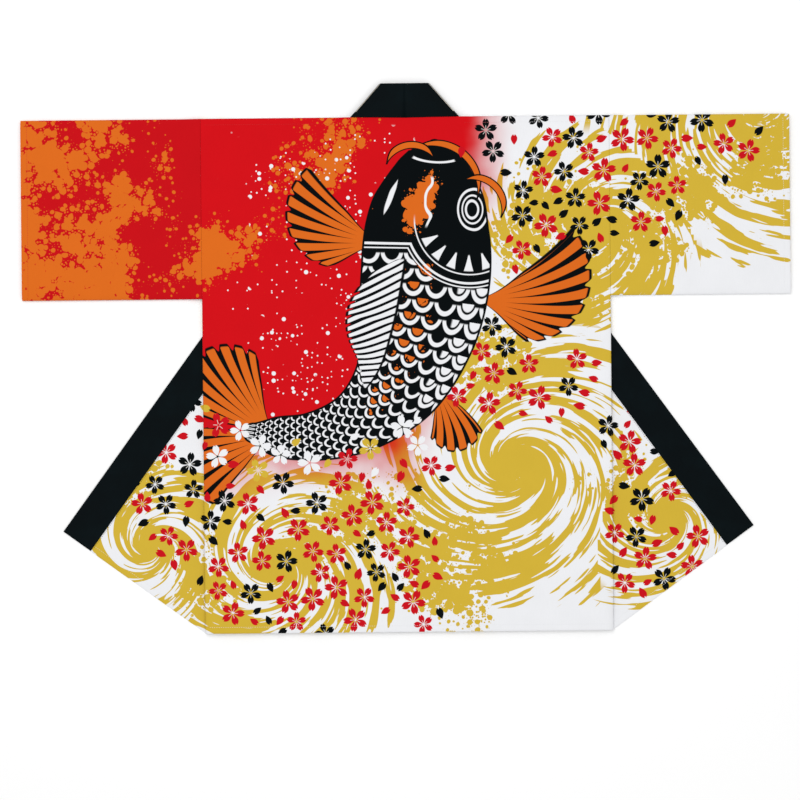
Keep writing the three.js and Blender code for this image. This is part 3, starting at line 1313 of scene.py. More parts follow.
def whirl_effect() -> bpy.types.NodeTree:
    """A whirlpool of dry brush strokes that wind round a centre."""

    def wire(net: Net, given: list[Signal]) -> Sequence[Signal]:
        dx, dy = net.split(given[0])
        radius, twist, seed = net.parts(given[1])
        far = net.math("SQRT", dx * dx + dy * dy * 1.2)
        angle = net.math("ARCTAN2", dy, dx) + twist * net.math("LOGARITHM", far + 0.010, math.e)
        cosine, sine = net.math("COSINE", angle), net.math("SINE", angle)
        wide, thin = 1.5 + far * 13.0, 3.4 + far * 34.0
        broad = net.noise(net.join(cosine * wide, sine * wide, far * 11.0 + seed), 1.0, 1.0, 0.4)
        fine = net.noise(net.join(cosine * thin, sine * thin, far * 26.0 + seed), 1.0, 1.5, 0.5)
        ratio = far / radius
        need = 0.478 + ratio * ratio * 0.034 + net.step(0.95, 1.35, ratio) * 0.20
        need = need - net.step(0.32, 0.06, ratio) * 0.16
        ink = net.step(0.0, 0.012, broad * 0.5 + fine * 0.5 - need)
        return ink, net.step(0.95, 1.10, ratio)

    outputs = [("Ink", "Float"), ("Beyond", "Float")]
    return effect("Whirl", [("Place", "Vector"), ("Kind", "Color")], outputs, wire)


def stamp_effect() -> bpy.types.NodeTree:
    """One blossom or loose petal in its own coordinates, over a colour."""

    def wire(net: Net, given: list[Signal]) -> Sequence[Signal]:
        under, place, tint, kind = given
        x, y = net.split(place)
        whole = net.step(0.7, 0.9, kind)
        far = net.far(x, y)
        fifth = math.tau / 5
        offset = net.math("PINGPONG", net.math("ARCTAN2", y, x) + math.tau, fifth / 2)
        petal_u = far * net.math("COSINE", offset) * whole + (x * 0.46 + 0.56) * (1.0 - whole)
        petal_v = far * net.math("SINE", offset) * whole + net.size(y) * 0.46 * (1.0 - whole)
        part = (petal_u - 0.07) / 0.93
        belly = net.math("SINE", net.math("POWER", net.math("MAXIMUM", part, 0.0), 1.25) * math.pi)
        width = net.math("POWER", net.math("MAXIMUM", belly, 0.0), 0.72) * 0.275
        tip = 0.965 - net.math("MAXIMUM", 0.075 - petal_v, 0.0) * 1.9
        petal = net.least(net.step(-0.015, 0.015, width - petal_v), net.step(0.015, -0.015, petal_u - tip),
                          net.step(0.0, 0.02, part))
        star = net.least(net.step(0.028, 0.014, petal_v), net.step(0.44, 0.36, petal_u)) * whole
        mask = petal * net.step(0.2, 0.4, kind)
        return (net.mix(mask, under, net.mix(star * 0.85, tint, (0.80, 0.79, 0.74))),)

    inputs = [("Under", "Color"), ("Place", "Vector"), ("Tint", "Color"), ("Kind", "Float")]
    return effect("Blossom Stamp", inputs, [("Colour", "Color")], wire)


def fin_effect() -> bpy.types.NodeTree:
    """A fan-shaped fin with dark rays: its whole mask, and how much of it is the dark ink."""

    def wire(net: Net, given: list[Signal]) -> Sequence[Signal]:
        x, y = net.split(given[0])
        spread, rays, bend = net.parts(given[1])
        skew = given[2]
        ratio = net.far(x, y)
        part = (net.math("ARCTAN2", y, x) + bend * ratio * ratio) / spread
        ray = net.math("PINGPONG", part * rays + 40.0, 1.0)
        out = net.size(part)
        edge = 1.0 - part * part * 0.16 + skew * part - net.step(0.55, 0.0, ray) * 0.060 - ratio
        waist = 1.0 - net.step(0.5, 0.0, ratio) * 0.25 - out
        inside = net.least(net.step(0.0, 0.012, edge), net.step(0.0, 0.02, waist), net.step(1.3, 1.2, ratio))
        rim = net.most(net.step(0.040, 0.026, edge), net.step(0.085, 0.060, waist))
        swell = net.step(0.22, 0.95, ratio) * 0.36 + 0.02
        dark = net.most(rim, net.least(net.step(swell + 0.05, swell, ray), net.step(0.24, 0.34, ratio)))
        return inside, dark

    inputs = [("Place", "Vector"), ("Kind", "Color"), ("Skew", "Float")]
    return effect("Fin", inputs, [("Inside", "Float"), ("Dark", "Float")], wire)


def scale_effect() -> bpy.types.NodeTree:
    """Overlapping fish scales from a row number and a place across: the light crescent and the heart."""

    def wire(net: Net, given: list[Signal]) -> Sequence[Signal]:
        row, across = net.split(given[0])
        column = across * 2.8
        whole = net.math("FLOOR", row)
        part = row - whole
        moved = column - net.math("PINGPONG", whole, 1.0) * 0.5
        aside = moved - net.math("ROUND", moved)
        round_it = net.math("SQRT", aside * aside * 3.6 + part * part * 1.03)
        crescent = net.least(net.step(0.60, 0.66, round_it), net.step(0.95, 0.90, round_it),
                             net.step(0.10, 0.22, part))
        heart = net.step(0.52, 0.44, round_it)
        return crescent, heart

    return effect("Fish Scales", [("Fish", "Vector")], [("Crescent", "Float"), ("Heart", "Float")], wire)


@dataclass(frozen=True)
class PrintInks:
    """The colours of the print."""

    red: Colour = (0.610, 0.0040, 0.0080)
    sleeve_red: Colour = (0.545, 0.0040, 0.0080)
    white: Colour = (0.815, 0.822, 0.845)
    gold: Colour = (0.620, 0.425, 0.040)
    orange: Colour = (0.690, 0.140, 0.012)
    koi_orange: Colour = (0.680, 0.135, 0.012)
    black: Colour = (0.0012, 0.0026, 0.0034)


INKS = PrintInks()


def ground_effect() -> bpy.types.NodeTree:
    """The print's ground: gold whirls on white, red over them, then splattered ink and white specks."""
    whirl, splatter, specks = whirl_effect(), splatter_effect(), speck_effect()

    def wire(net: Net, given: list[Signal]) -> Sequence[Signal]:
        place, wash, deeper, first, first_kind, second, second_kind = given
        level, amount, speck_amount = net.parts(wash)
        ink = net.use(splatter, Place=place, Amount=amount)[0]
        near, beyond = net.use(whirl, Place=first, Kind=first_kind)
        next_to_it = net.use(whirl, Place=second, Kind=second_kind)[0]
        gold = net.most(near, net.least(next_to_it, beyond), ink)
        colour = net.mix(gold, INKS.white, INKS.gold)
        red = net.step(-0.1, 1.0, level + (net.noise(place, 8.0, 3.0, 0.55) - 0.5) * 1.1)
        colour = net.mix(red, colour, net.mix(deeper, INKS.red, INKS.sleeve_red))
        colour = net.mix(net.least(ink, net.step(0.7, 0.9, red)), colour, INKS.orange)
        dots = net.use(specks, Place=place, Amount=speck_amount)[0]
        return net.mix(dots, colour, INKS.white), ink, dots

    inputs = [("Place", "Vector"), ("Wash", "Color"), ("Deeper", "Float"), ("First", "Vector"),
              ("First Kind", "Color"), ("Second", "Vector"), ("Second Kind", "Color")]
    return effect("Print Ground", inputs, [("Colour", "Color"), ("Ink", "Float"), ("Specks", "Float")], wire)


@dataclass(frozen=True)
class Whisker:
    """One whisker: part of a ring, by its middle, its radius and the way to the part that shows."""

    middle: Point
    radius: float
    way: Point


@dataclass(frozen=True)
class KoiFace:
    """Where the parts of the koi's head are, in metres on the print or from the mouth."""

    eye: Point = (0.104, 0.655)
    cheek: Point = (0.100, 0.640)
    gill_along: float = 0.154
    gill_reach: float = 0.102
    dorsal_from: float = 0.174
    dorsal_length: float = 0.245
    belly_to: float = 0.385
    outline: float = 0.0030
    whiskers: tuple[Whisker, ...] = (
        Whisker((0.046, 0.690), 0.068, (0.62, 0.80)),
        Whisker((0.010, 0.716), 0.040, (-0.1, 1.0)),
        Whisker((0.108, 0.660), 0.044, (0.9, 0.9)),
    )


FACE = KoiFace()


def koi_effect() -> bpy.types.NodeTree:
    """The printed koi over a colour: fins, whiskers, body, scales, head and dorsal fin."""
    fin, scales = fin_effect(), scale_effect()

    def wire(net: Net, given: list[Signal]) -> Sequence[Signal]:
        under, place, fish, size, ink, fin_place, fin_kind, skew = given
        x, y = net.split(place)
        _, across = net.split(fish)
        along, inside, _ = net.parts(size)
        mask, dark = net.use(fin, Place=fin_place, Kind=fin_kind, Skew=skew)
        colour = net.mix(mask, under, net.mix(dark, INKS.koi_orange, INKS.black))
        crescent, heart = net.use(scales, Fish=fish)
        scaled = net.mix(net.least(heart, ink), INKS.black, INKS.koi_orange)
        belly_end = net.step(FACE.belly_to, FACE.belly_to - 0.0005, along)
        belly = net.least(net.step(0.50, 0.54, across), belly_end)
        scaled = net.mix(net.most(crescent, heart * belly), scaled, INKS.white)
        cheek_x, cheek_y = x - FACE.cheek[0], y - FACE.cheek[1]
        from_cheek = net.far(cheek_x, cheek_y)
        gill = net.least(along - FACE.gill_along, from_cheek - FACE.gill_reach)
        head = net.mix(ink, INKS.black, INKS.koi_orange)
        strokes = gill_strokes(net, gill, from_cheek, cheek_x, cheek_y)
        lines = net.most(strokes, head_lines(net, place, along, across))
        head = net.mix(lines, head, INKS.white)
        rings, disc = eye(net, x, y)
        head = net.mix(disc, head, net.mix(rings, INKS.black, INKS.white))
        skin = net.mix(net.step(0.0066, 0.0072, gill), head, scaled)
        rim = net.step(FACE.outline + 0.0004, FACE.outline - 0.0006, inside)
        skin = net.mix(rim, skin, INKS.black)
        colour = net.mix(net.step(-0.0008, 0.0, inside), colour, skin)
        for whisker in FACE.whiskers:
            colour = whisker_over(net, colour, x, y, whisker)
        whole, light = dorsal_fin(net, along, across)
        return (net.mix(whole, colour, net.mix(light, INKS.black, INKS.white)),)

    inputs = [("Under", "Color"), ("Place", "Vector"), ("Fish", "Vector"), ("Fish Size", "Color"),
              ("Ink", "Float"), ("Fin", "Vector"), ("Fin Kind", "Color"), ("Fin Skew", "Float")]
    return effect("Printed Koi", inputs, [("Colour", "Color")], wire)


def whisker_over(net: Net, under: Signal, x: Signal, y: Signal, whisker: Whisker) -> Signal:
    """One curved whisker that thins to its ends.

    Args:
        net: the tree to build in.
        under: the colour below.
        x: place across.
        y: place along.
        whisker: where it is.

    Returns:
        The colour with the whisker on it.
    """
    dx, dy = x - whisker.middle[0], y - whisker.middle[1]
    way_x, way_y = whisker.way
    off = net.size(net.far(dx, dy) - whisker.radius)
    facing = (dx * way_x + dy * way_y) / (whisker.radius * math.hypot(way_x, way_y))
    thick = net.step(0.35, 1.0, facing) * 0.0052
    shown = net.step(0.34, 0.36, facing)
    outline = net.least(net.step(0.0004, 0.0, off - thick - 0.0012), shown)
    core = net.least(net.step(0.0004, 0.0, off - thick + 0.0008), shown)
    return net.mix(outline, under, net.mix(core, INKS.black, INKS.koi_orange))


def gill_strokes(net: Net, gill: Signal, from_cheek: Signal, dx: Signal, dy: Signal) -> Signal:
    """The light wedges that fan out below the eye, and the light rims of the gill cover.

    Args:
        net: the tree to build in.
        gill: how far past the gill cover's edge a place is.
        from_cheek: how far it is from the cheek's middle.
        dx: how far across from the cheek's middle.
        dy: how far up from the cheek's middle.

    Returns:
        The mask of the light ink.
    """
    comb = net.math("PINGPONG", net.math("ARCTAN2", dy, dx) * 5.6 + 40.0, 1.0)
    wedge = net.step(0.0, 0.05, comb - 0.93 + (from_cheek - 0.052) * 16.0)
    wedge = net.least(wedge, net.step(0.055, 0.058, from_cheek), net.step(0.082, 0.080, from_cheek),
                      net.step(-0.010, -0.018, dy + dx * -0.1))
    rim = net.least(net.step(-0.0042, -0.0036, gill), net.step(0.0, -0.0006, gill))
    second = net.least(net.step(0.0030, 0.0036, gill), net.step(0.0056, 0.0050, gill))
    inner = net.least(net.step(0.0850, 0.0856, from_cheek), net.step(0.0876, 0.0870, from_cheek),
                      net.step(0.01, -0.01, dy))
    return net.most(wedge, rim, second, inner)


def head_lines(net: Net, place: Signal, along: Signal, across: Signal) -> Signal:
    """Thin light lines on the head: the brow, the cheek and the lip.

    Args:
        net: the tree to build in.
        place: the place on the print.
        along: the distance from the mouth.
        across: the place across the body, from -1 to 1.

    Returns:
        The mask of the light ink.
    """
    wander = (net.noise(place, 26.0, 1.0) - 0.5) * 0.42
    middle = net.size(across + 0.02 - wander)
    brow = net.least(net.step(0.034, 0.022, middle), net.step(0.045, 0.050, along),
                     net.step(0.128, 0.120, along))
    cheek = net.size(across + 0.74 + wander * 0.3)
    bulge = (along - 0.084) * (along - 0.084) * 62.0
    left = net.least(net.step(0.060, 0.045, cheek + bulge), net.step(0.50, 0.49, cheek))
    lip = net.size(along - 0.024 + across * across * 0.012)
    mouth = net.least(net.step(0.0020, 0.0012, lip), net.step(0.70, 0.62, net.size(across)))
    return net.most(brow, left, mouth)


def eye(net: Net, x: Signal, y: Signal) -> tuple[Signal, Signal]:
    """The eye.

    Args:
        net: the tree to build in.
        x: place across.
        y: place along.

    Returns:
        The mask of its light rings, and of the dark disc behind them.
    """
    dx, dy = x - FACE.eye[0], y - FACE.eye[1]
    far = net.math("SQRT", dx * dx * 1.5 + dy * dy * 0.80)
    side = net.step(-0.006, 0.010, dx)
    inner = net.step(0.0024, 0.0014, net.size(far - 0.0125 + side * 0.0015))
    middle = net.step(0.0017, 0.0009, net.size(far - 0.0195))
    outer = net.step(0.0022, 0.0014, net.size(far - 0.0275 - side * 0.0015))
    return net.most(inner, middle, outer), net.step(0.0325, 0.0318, far)


def dorsal_fin(net: Net, along: Signal, across: Signal) -> tuple[Signal, Signal]:
    """The dorsal fin laid against the body.

    Args:
        net: the tree to build in.
        along: the distance from the mouth.
        across: the place across the body, from -1 to 1.

    Returns:
        Its mask, and the mask of its light stripes.
    """
    part = (along - FACE.dorsal_from) / FACE.dorsal_length
    hump = net.math("POWER", net.math("MAXIMUM", net.math("SINE", part * math.pi), 0.0), 0.5)
    out = (across + 0.30 + part * 0.20) * -1.0
    comb = net.math("PINGPONG", (along - out * 0.072) * 135.0, 1.0)
    reach = hump * 0.86 - net.step(0.5, 0.0, comb) * 0.10 - out
    whole = net.least(net.step(0.0, 0.02, part), net.step(1.0, 0.98, part), net.step(-0.01, 0.01, out),
                      net.step(0.0, 0.02, reach))
    rim = net.most(net.step(0.065, 0.045, reach), net.step(0.055, 0.035, out))
    light = net.step(0.0, 0.10, comb - 0.28 - out * 0.22) * (1.0 - rim)
    return whole, light


# ---------------------------------------------------------------- the finishes


class ClothFace(Enum):
    """The face of a printed cloth, as how much of the print's strength shows."""

    OUTSIDE = 1.0
    INSIDE = 0.30


@dataclass(frozen=True)
class PrintedCotton:
    """Printed cotton: the ground, the koi, the blossoms and the weave."""

    name: str
    with_koi: bool
    with_stamps: bool
    face: ClothFace
    roughness: float = 0.86
    thread_pitch: float = math.tau / 0.0011
    unprinted: Colour = (0.78, 0.77, 0.77)

    def make(self, effects: "Effects") -> bpy.types.Material:
        """Wires the finish from the shared effects."""
        net, shader = start_material(self.name)
        place = net.map(PATTERN_MAP)
        wash, deeper = net.attribute("wash")
        colour, ink, specks = net.use(
            effects.ground, Place=place, Wash=wash, Deeper=deeper, First=net.map("whirl_a"),
            First_Kind=net.attribute("whirl_kind_a")[0], Second=net.map("whirl_b"),
            Second_Kind=net.attribute("whirl_kind_b")[0],
        )
        if self.with_koi:
            fin_kind, fin_skew = net.attribute("fin_kind")
            colour = net.use(
                effects.koi, Under=colour, Place=place, Fish=net.map("fish"),
                Fish_Size=net.attribute("fish_size")[0], Ink=ink, Fin=net.map("fin"), Fin_Kind=fin_kind,
                Fin_Skew=fin_skew,
            )[0]
        if self.with_stamps:
            for letter in "ab":
                tint, kind = net.attribute(f"tint_{letter}")
                stamp_place = net.map(f"blossom_{letter}")
                colour = net.use(effects.stamp, Under=colour, Place=stamp_place, Tint=tint, Kind=kind)[0]
        if self.face is ClothFace.INSIDE:
            colour = net.mix(self.face.value, self.unprinted, colour)
        height, shade = net.use(effects.weave, Place=place, Thread_Pitch=self.thread_pitch)
        net.put(shader.inputs["Base Color"], shaded(net, colour, shade))
        net.put(shader.inputs["Roughness"], self.roughness - height * 0.10)
        net.put(shader.inputs["Normal"], bumped(net, height, 0.25, 0.00012))
        shader.inputs["Sheen Weight"].default_value = 0.02
        shader.inputs["Sheen Roughness"].default_value = 0.5
        shader.inputs["Specular IOR Level"].default_value = 0.05
        return bpy.data.materials[self.name]


@dataclass(frozen=True)
class PlainCotton:
    """Dyed cotton in one colour that still shows its weave and its softer, rubbed places."""

    name: str
    colour: Colour
    rubbed: Colour
    roughness: float
    pitch: float
    sheen: float = 0.01

    def make(self, effects: "Effects") -> bpy.types.Material:
        """Wires the finish from the shared effects."""
        net, shader = start_material(self.name)
        place = net.map(PATTERN_MAP)
        height, shade = net.use(effects.weave, Place=place, Thread_Pitch=math.tau / self.pitch)
        soft = net.step(0.40, 0.72, net.noise(place, 14.0, 5.0, 0.62))
        colour = net.mix(soft * 0.75 + height * 0.10, self.colour, self.rubbed)
        net.put(shader.inputs["Base Color"], shaded(net, colour, shade))
        net.put(shader.inputs["Roughness"], self.roughness + soft * 0.08 - height * 0.08)
        net.put(shader.inputs["Normal"], bumped(net, height, 0.30, 0.00012))
        shader.inputs["Sheen Weight"].default_value = self.sheen
        shader.inputs["Sheen Roughness"].default_value = 0.4
        shader.inputs["Specular IOR Level"].default_value = 0.06
        return bpy.data.materials[self.name]


@dataclass(frozen=True)
class PrintThread:
    """Sewing thread on the print: it takes the ground's colour, dimmed a little by painted shade that makes
    the stitch line show dark, with its own twist.
    """

    name: str = "print_thread"
    # painted shade: the thread's colour is dimmed so that the stitch line shows dark
    painted_stitch_shade: float = 0.80

    def make(self, effects: "Effects") -> bpy.types.Material:
        """Wires the finish from the shared effects."""
        net, shader = start_material(self.name)
        place = net.map(PATTERN_MAP)
        x, y = net.split(place)
        red = net.step(-0.1, 1.0, net.least(*RED_GROUND.depths(x, y)))
        colour = net.mix(red, INKS.white, INKS.red)
        twist = net.noise(place, 2600.0, 2.0)
        # the ground's colour dimmed by the painted stitch shade, with the twist varying the tone
        net.put(shader.inputs["Base Color"], shaded(net, colour, self.painted_stitch_shade + twist * 0.3))
        net.put(shader.inputs["Roughness"], 0.62 + twist * 0.2)
        shader.inputs["Sheen Weight"].default_value = 0.1
        return bpy.data.materials[self.name]


@dataclass(frozen=True)
class Interlining:
    """The stiffening cloth inside the band: unbleached, with a coarse weave."""

    name: str = "interlining_cloth"
    colour: Colour = (0.62, 0.58, 0.50)
    shadow: Colour = (0.45, 0.41, 0.34)

    def make(self, effects: "Effects") -> bpy.types.Material:
        """Wires the finish from the shared effects."""
        net, shader = start_material(self.name)
        place = Signal(net, net.node("ShaderNodeTexCoord").outputs["Object"])
        height, shade = net.use(effects.weave, Place=place, Thread_Pitch=math.tau / 0.0016)
        colour = net.mix(height * 0.7, self.shadow, self.colour)
        net.put(shader.inputs["Base Color"], shaded(net, colour, shade))
        net.put(shader.inputs["Roughness"], 0.92 - height * 0.12)
        net.put(shader.inputs["Normal"], bumped(net, height, 0.4, 0.0002))
        return bpy.data.materials[self.name]


@dataclass(frozen=True)
class PaleFloor:
    """The studio floor: an even pale sheet."""

    name: str = "pale_floor"
    colour: Colour = (0.985, 0.985, 0.985)
    clouded: Colour = (0.95, 0.95, 0.95)

    def make(self) -> bpy.types.Material:
        """Wires the floor's finish."""
        net, shader = start_material(self.name)
        place = Signal(net, net.node("ShaderNodeTexCoord").outputs["Object"])
        cloud = net.noise(place, 1.5, 2.0)
        net.put(shader.inputs["Base Color"], net.mix(cloud * 0.05, self.colour, self.clouded))
        net.put(shader.inputs["Roughness"], 0.85 + cloud * 0.05)
        shader.inputs["Specular IOR Level"].default_value = 0.1
        return bpy.data.materials[self.name]


def start_material(name: str) -> tuple[Net, bpy.types.Node]:
    """Starts a material and gives its net and its shader."""
    material = bpy.data.materials.new(name)
    material.use_nodes = True
    return Net(material.node_tree), material.node_tree.nodes["Principled BSDF"]


def shaded(net: Net, colour: Signal, shade: Signal) -> Signal:
    """A colour times a grey shade.

    Args:
        net: the tree to build in.
        colour: the colour.
        shade: the shade, 1 for no change.

    Returns:
        The shaded colour.
    """
    made = net.node("ShaderNodeMix", data_type="RGBA", blend_type="MULTIPLY")
    made.inputs[0].default_value = 1.0
    net.put(made.inputs[6], colour)
    net.put(made.inputs[7], shade)
    return Signal(net, made.outputs[2])


def bumped(net: Net, height: Signal, strength: float, depth: float) -> Signal:
    """A normal that shows a height as relief.

    Args:
        net: the tree to build in.
        height: the relief, from 0 to 1.
        strength: how strongly it shows.
        depth: the relief's real depth, in metres.

    Returns:
        The normal.
    """
    made = net.node("ShaderNodeBump")
    made.inputs["Strength"].default_value = strength
    made.inputs["Distance"].default_value = depth
    net.put(made.inputs["Height"], height)
    return Signal(net, made.outputs[0])


@dataclass(frozen=True)
class Effects:
    """The node groups that the finishes share."""

    weave: bpy.types.NodeTree
    ground: bpy.types.NodeTree
    stamp: bpy.types.NodeTree
    koi: bpy.types.NodeTree

    @staticmethod
    def make() -> "Effects":
        """Builds every shared effect once."""
        return Effects(weave_effect(), ground_effect(), stamp_effect(), koi_effect())


def make_finishes() -> "Finishes":
    """Makes the coat's materials."""
    effects = Effects.make()
    black, rubbed = (0.0006, 0.0026, 0.0036), (0.0022, 0.0062, 0.0078)
    return Finishes(
        back_outside=PrintedCotton("printed_back", True, True, ClothFace.OUTSIDE).make(effects),
        sleeve_outside=PrintedCotton("printed_sleeve", False, True, ClothFace.OUTSIDE).make(effects),
        front_outside=PrintedCotton("printed_front", False, True, ClothFace.OUTSIDE).make(effects),
        inside=PrintedCotton("print_reverse", False, False, ClothFace.INSIDE).make(effects),
        black_cotton=PlainCotton("black_cotton_cloth", black, rubbed, 0.74, 0.0009).make(effects),
        interlining=Interlining().make(effects),
        print_thread=PrintThread().make(effects),
        black_thread=PlainCotton("black_thread_finish", black, rubbed, 0.6, 0.0006).make(effects),
    )


# ---------------------------------------------------------------- cloths


@dataclass(frozen=True)
class Finishes:
    """The coat's materials."""

    back_outside: bpy.types.Material
    sleeve_outside: bpy.types.Material
    front_outside: bpy.types.Material
    inside: bpy.types.Material
    black_cotton: bpy.types.Material
    interlining: bpy.types.Material
    print_thread: bpy.types.Material
    black_thread: bpy.types.Material


@dataclass
class BackPanel:
    """The back: one cloth that rounds down to its seams and turns under at the hem."""

    finishes: Finishes
    step: float = 0.0040
    unevenness: float = 0.0012
    into_band: float = 0.005

    def shape(self, flat: Vector, lift: float = 0.0) -> Vector:
        """Where a place of the flat back lies.

        Args:
            flat: the place on the flat cut.
            lift: how far outside the cloth's middle.

        Returns:
            The place in the frame.
        """
        out, drop = turned_under(COAT.hem - flat.y, COAT.hem_turn)
        y = COAT.hem - out
        x = flat.x
        side = Side.RIGHT if x >= 0 else Side.LEFT
        full_rise = SEAM_LEVEL - SEAM_GAP / 2 - COAT.front_level
        front_edge = COAT.front_level + full_rise * seam_lift(side, x, y)
        dropped = edge_drop(x, y, COAT.edge_round)
        level = COAT.laid_level + (front_edge + SEAM_GAP - COAT.laid_level) * dropped
        inside = min(COAT.half_body - abs(x), COAT.shoulder - y, y - COAT.hem)
        level += waves(x, y, 3.0, self.unevenness, 8.0) * smooth(4 * MM, 50 * MM, inside)
        if y > COAT.underarm:
            level += seam_groove(COAT.half_body - abs(x)) * (1 - dropped)
        under_band = 1 - smooth(COAT.neck_base - 12 * MM, COAT.neck_base - 4 * MM, abs(x))
        neck = smooth(COAT.shoulder - 25 * MM, COAT.shoulder, y) * under_band
        level += (COAT.back_level - COAT.laid_level) * neck
        if flat.y > COAT.shoulder - 0.01 * MM:
            y += self.into_band * under_band
        return Vector((x, y, level - drop + lift * (-1 if drop > COAT.hem_turn else 1)))

    def build(self) -> bpy.types.Object:
        """Cuts the back, lays it out and dresses it."""
        allowance = hem_places(COAT.hem, COAT.hem_depth, COAT.hem_turn, -1)[::-1]
        ys = allowance + graded(COAT.hem, COAT.shoulder, self.step, False, True)
        xs = graded(-COAT.half_body, COAT.half_body, self.step, True, True)
        bm = cut_cloth(xs, ys)
        write_pattern(bm, lambda co: (co.x, COAT.from_hem(co.y)))
        lay_out(bm, self.shape)
        made = make_object("back_cloth", bm, (self.finishes.back_outside, self.finishes.inside))
        write_print(made, 1.0, True)
        thicken(made, COAT.cloth, 1)
        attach(made, "torso")
        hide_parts("back_panel")
        flat_size = (2 * COAT.half_body, COAT.length + COAT.hem_depth)
        return made


@dataclass
class Sleeve:
    """A sleeve: one cloth that becomes a tube, flat on the floor away from the body."""

    side: Side
    finishes: Finishes
    step: float = 0.0045
    unevenness: float = 0.0009
    corner_round: float = 0.012

    @property
    def name(self) -> str:
        """The sleeve's piece name."""
        return f"{self.side.word}_sleeve_cloth"

    def shape(self, flat: Vector, lift: float = 0.0) -> Vector:
        """Where a place of the flat sleeve lies.

        Args:
            flat: across is the coat's own X, along runs from the underarm up, over and back down.
            lift: how far outside the cloth's middle.

        Returns:
            The place in the frame.
        """
        outward = abs(flat.x) - COAT.half_body
        out, drop = turned_under(outward - COAT.sleeve_length, COAT.hem_turn)
        x = COAT.half_body + COAT.sleeve_length + out
        upper = flat.y <= COAT.sleeve_depth
        run = flat.y if upper else 2 * COAT.sleeve_depth - flat.y
        y = COAT.underarm + run
        edge = min(run, COAT.sleeve_depth - run)
        across = max(1 - edge / self.corner_round, 0.0)
        open_part = math.sqrt(max(1 - across * across, 0.0))
        ramp = smooth(0.0, COAT.ramp, outward)
        flat_middle = (COAT.sleeve_level + COAT.cloth / 2) / 2
        middle = SEAM_LEVEL + (flat_middle - SEAM_LEVEL) * ramp
        at_armhole = (COAT.laid_level - COAT.front_level) / 2
        half_height = at_armhole + (COAT.sleeve_level - flat_middle - at_armhole) * ramp
        height = (half_height - drop) * open_part
        height += seam_groove(outward) * open_part
        if upper:
            inside = min(edge, COAT.sleeve_length - outward, outward)
            uneven = waves(x, y, 11.0 + self.side.value, self.unevenness, 6.0)
            height += uneven * smooth(0, 50 * MM, inside)
        height += lift * (-1 if drop > COAT.hem_turn else 1)
        centre = COAT.underarm + COAT.sleeve_depth / 2
        y = centre + (y - centre) * (1 - 2 * drop / COAT.sleeve_depth)
        sign = 1 if upper else -1
        return Vector((self.side.value * x, y, middle + sign * height))

    def print_place(self, flat: Vector) -> Point:
        """The place on the print; the lower half carries on past the shoulder fold."""
        return flat.x, COAT.from_hem(COAT.underarm + flat.y)

    def build(self) -> bpy.types.Object:
        """Cuts the sleeve, lays it out as a tube and dresses it."""
        cuff = COAT.half_body + COAT.sleeve_length
        xs = graded(COAT.half_body + 0.2 * MM, cuff, self.step, True, False)
        xs += hem_places(cuff, COAT.hem_depth, COAT.hem_turn, 1)
        if self.side is Side.LEFT:
            xs = [-x for x in reversed(xs)]
        upper = graded(0.0, COAT.sleeve_depth, self.step, True, True)
        lower = graded(COAT.sleeve_depth, 2 * COAT.sleeve_depth, self.step * 1.6, True, True)
        bm = cut_cloth(xs, upper + lower[1:])
        write_pattern(bm, self.print_place)
        lay_out(bm, self.shape)
        bmesh.ops.remove_doubles(bm, verts=bm.verts, dist=0.02 * MM)
        made = make_object(self.name, bm, (self.finishes.sleeve_outside, self.finishes.inside))
        write_print(made, 1.0, False)
        thicken(made, COAT.cloth, 1)
        self.hold(made)
        word = self.side.word
        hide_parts(f"{word}_sleeve_back", f"{word}_sleeve_front")
        flat_size = (COAT.sleeve_length + COAT.hem_depth, 2 * COAT.sleeve_depth)
        return made

    def hold(self, piece: bpy.types.Object) -> None:
        """Bakes a piece of the sleeve's placement into its own mesh."""
        sign = self.side.value
        start = (sign * (COAT.half_body + 1 * MM), 0.0, 0.0)
        end = (sign * (COAT.half_body + 30 * MM), 0.0, 0.0)
        f"{self.side.word}_sleeve"
        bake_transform(piece)


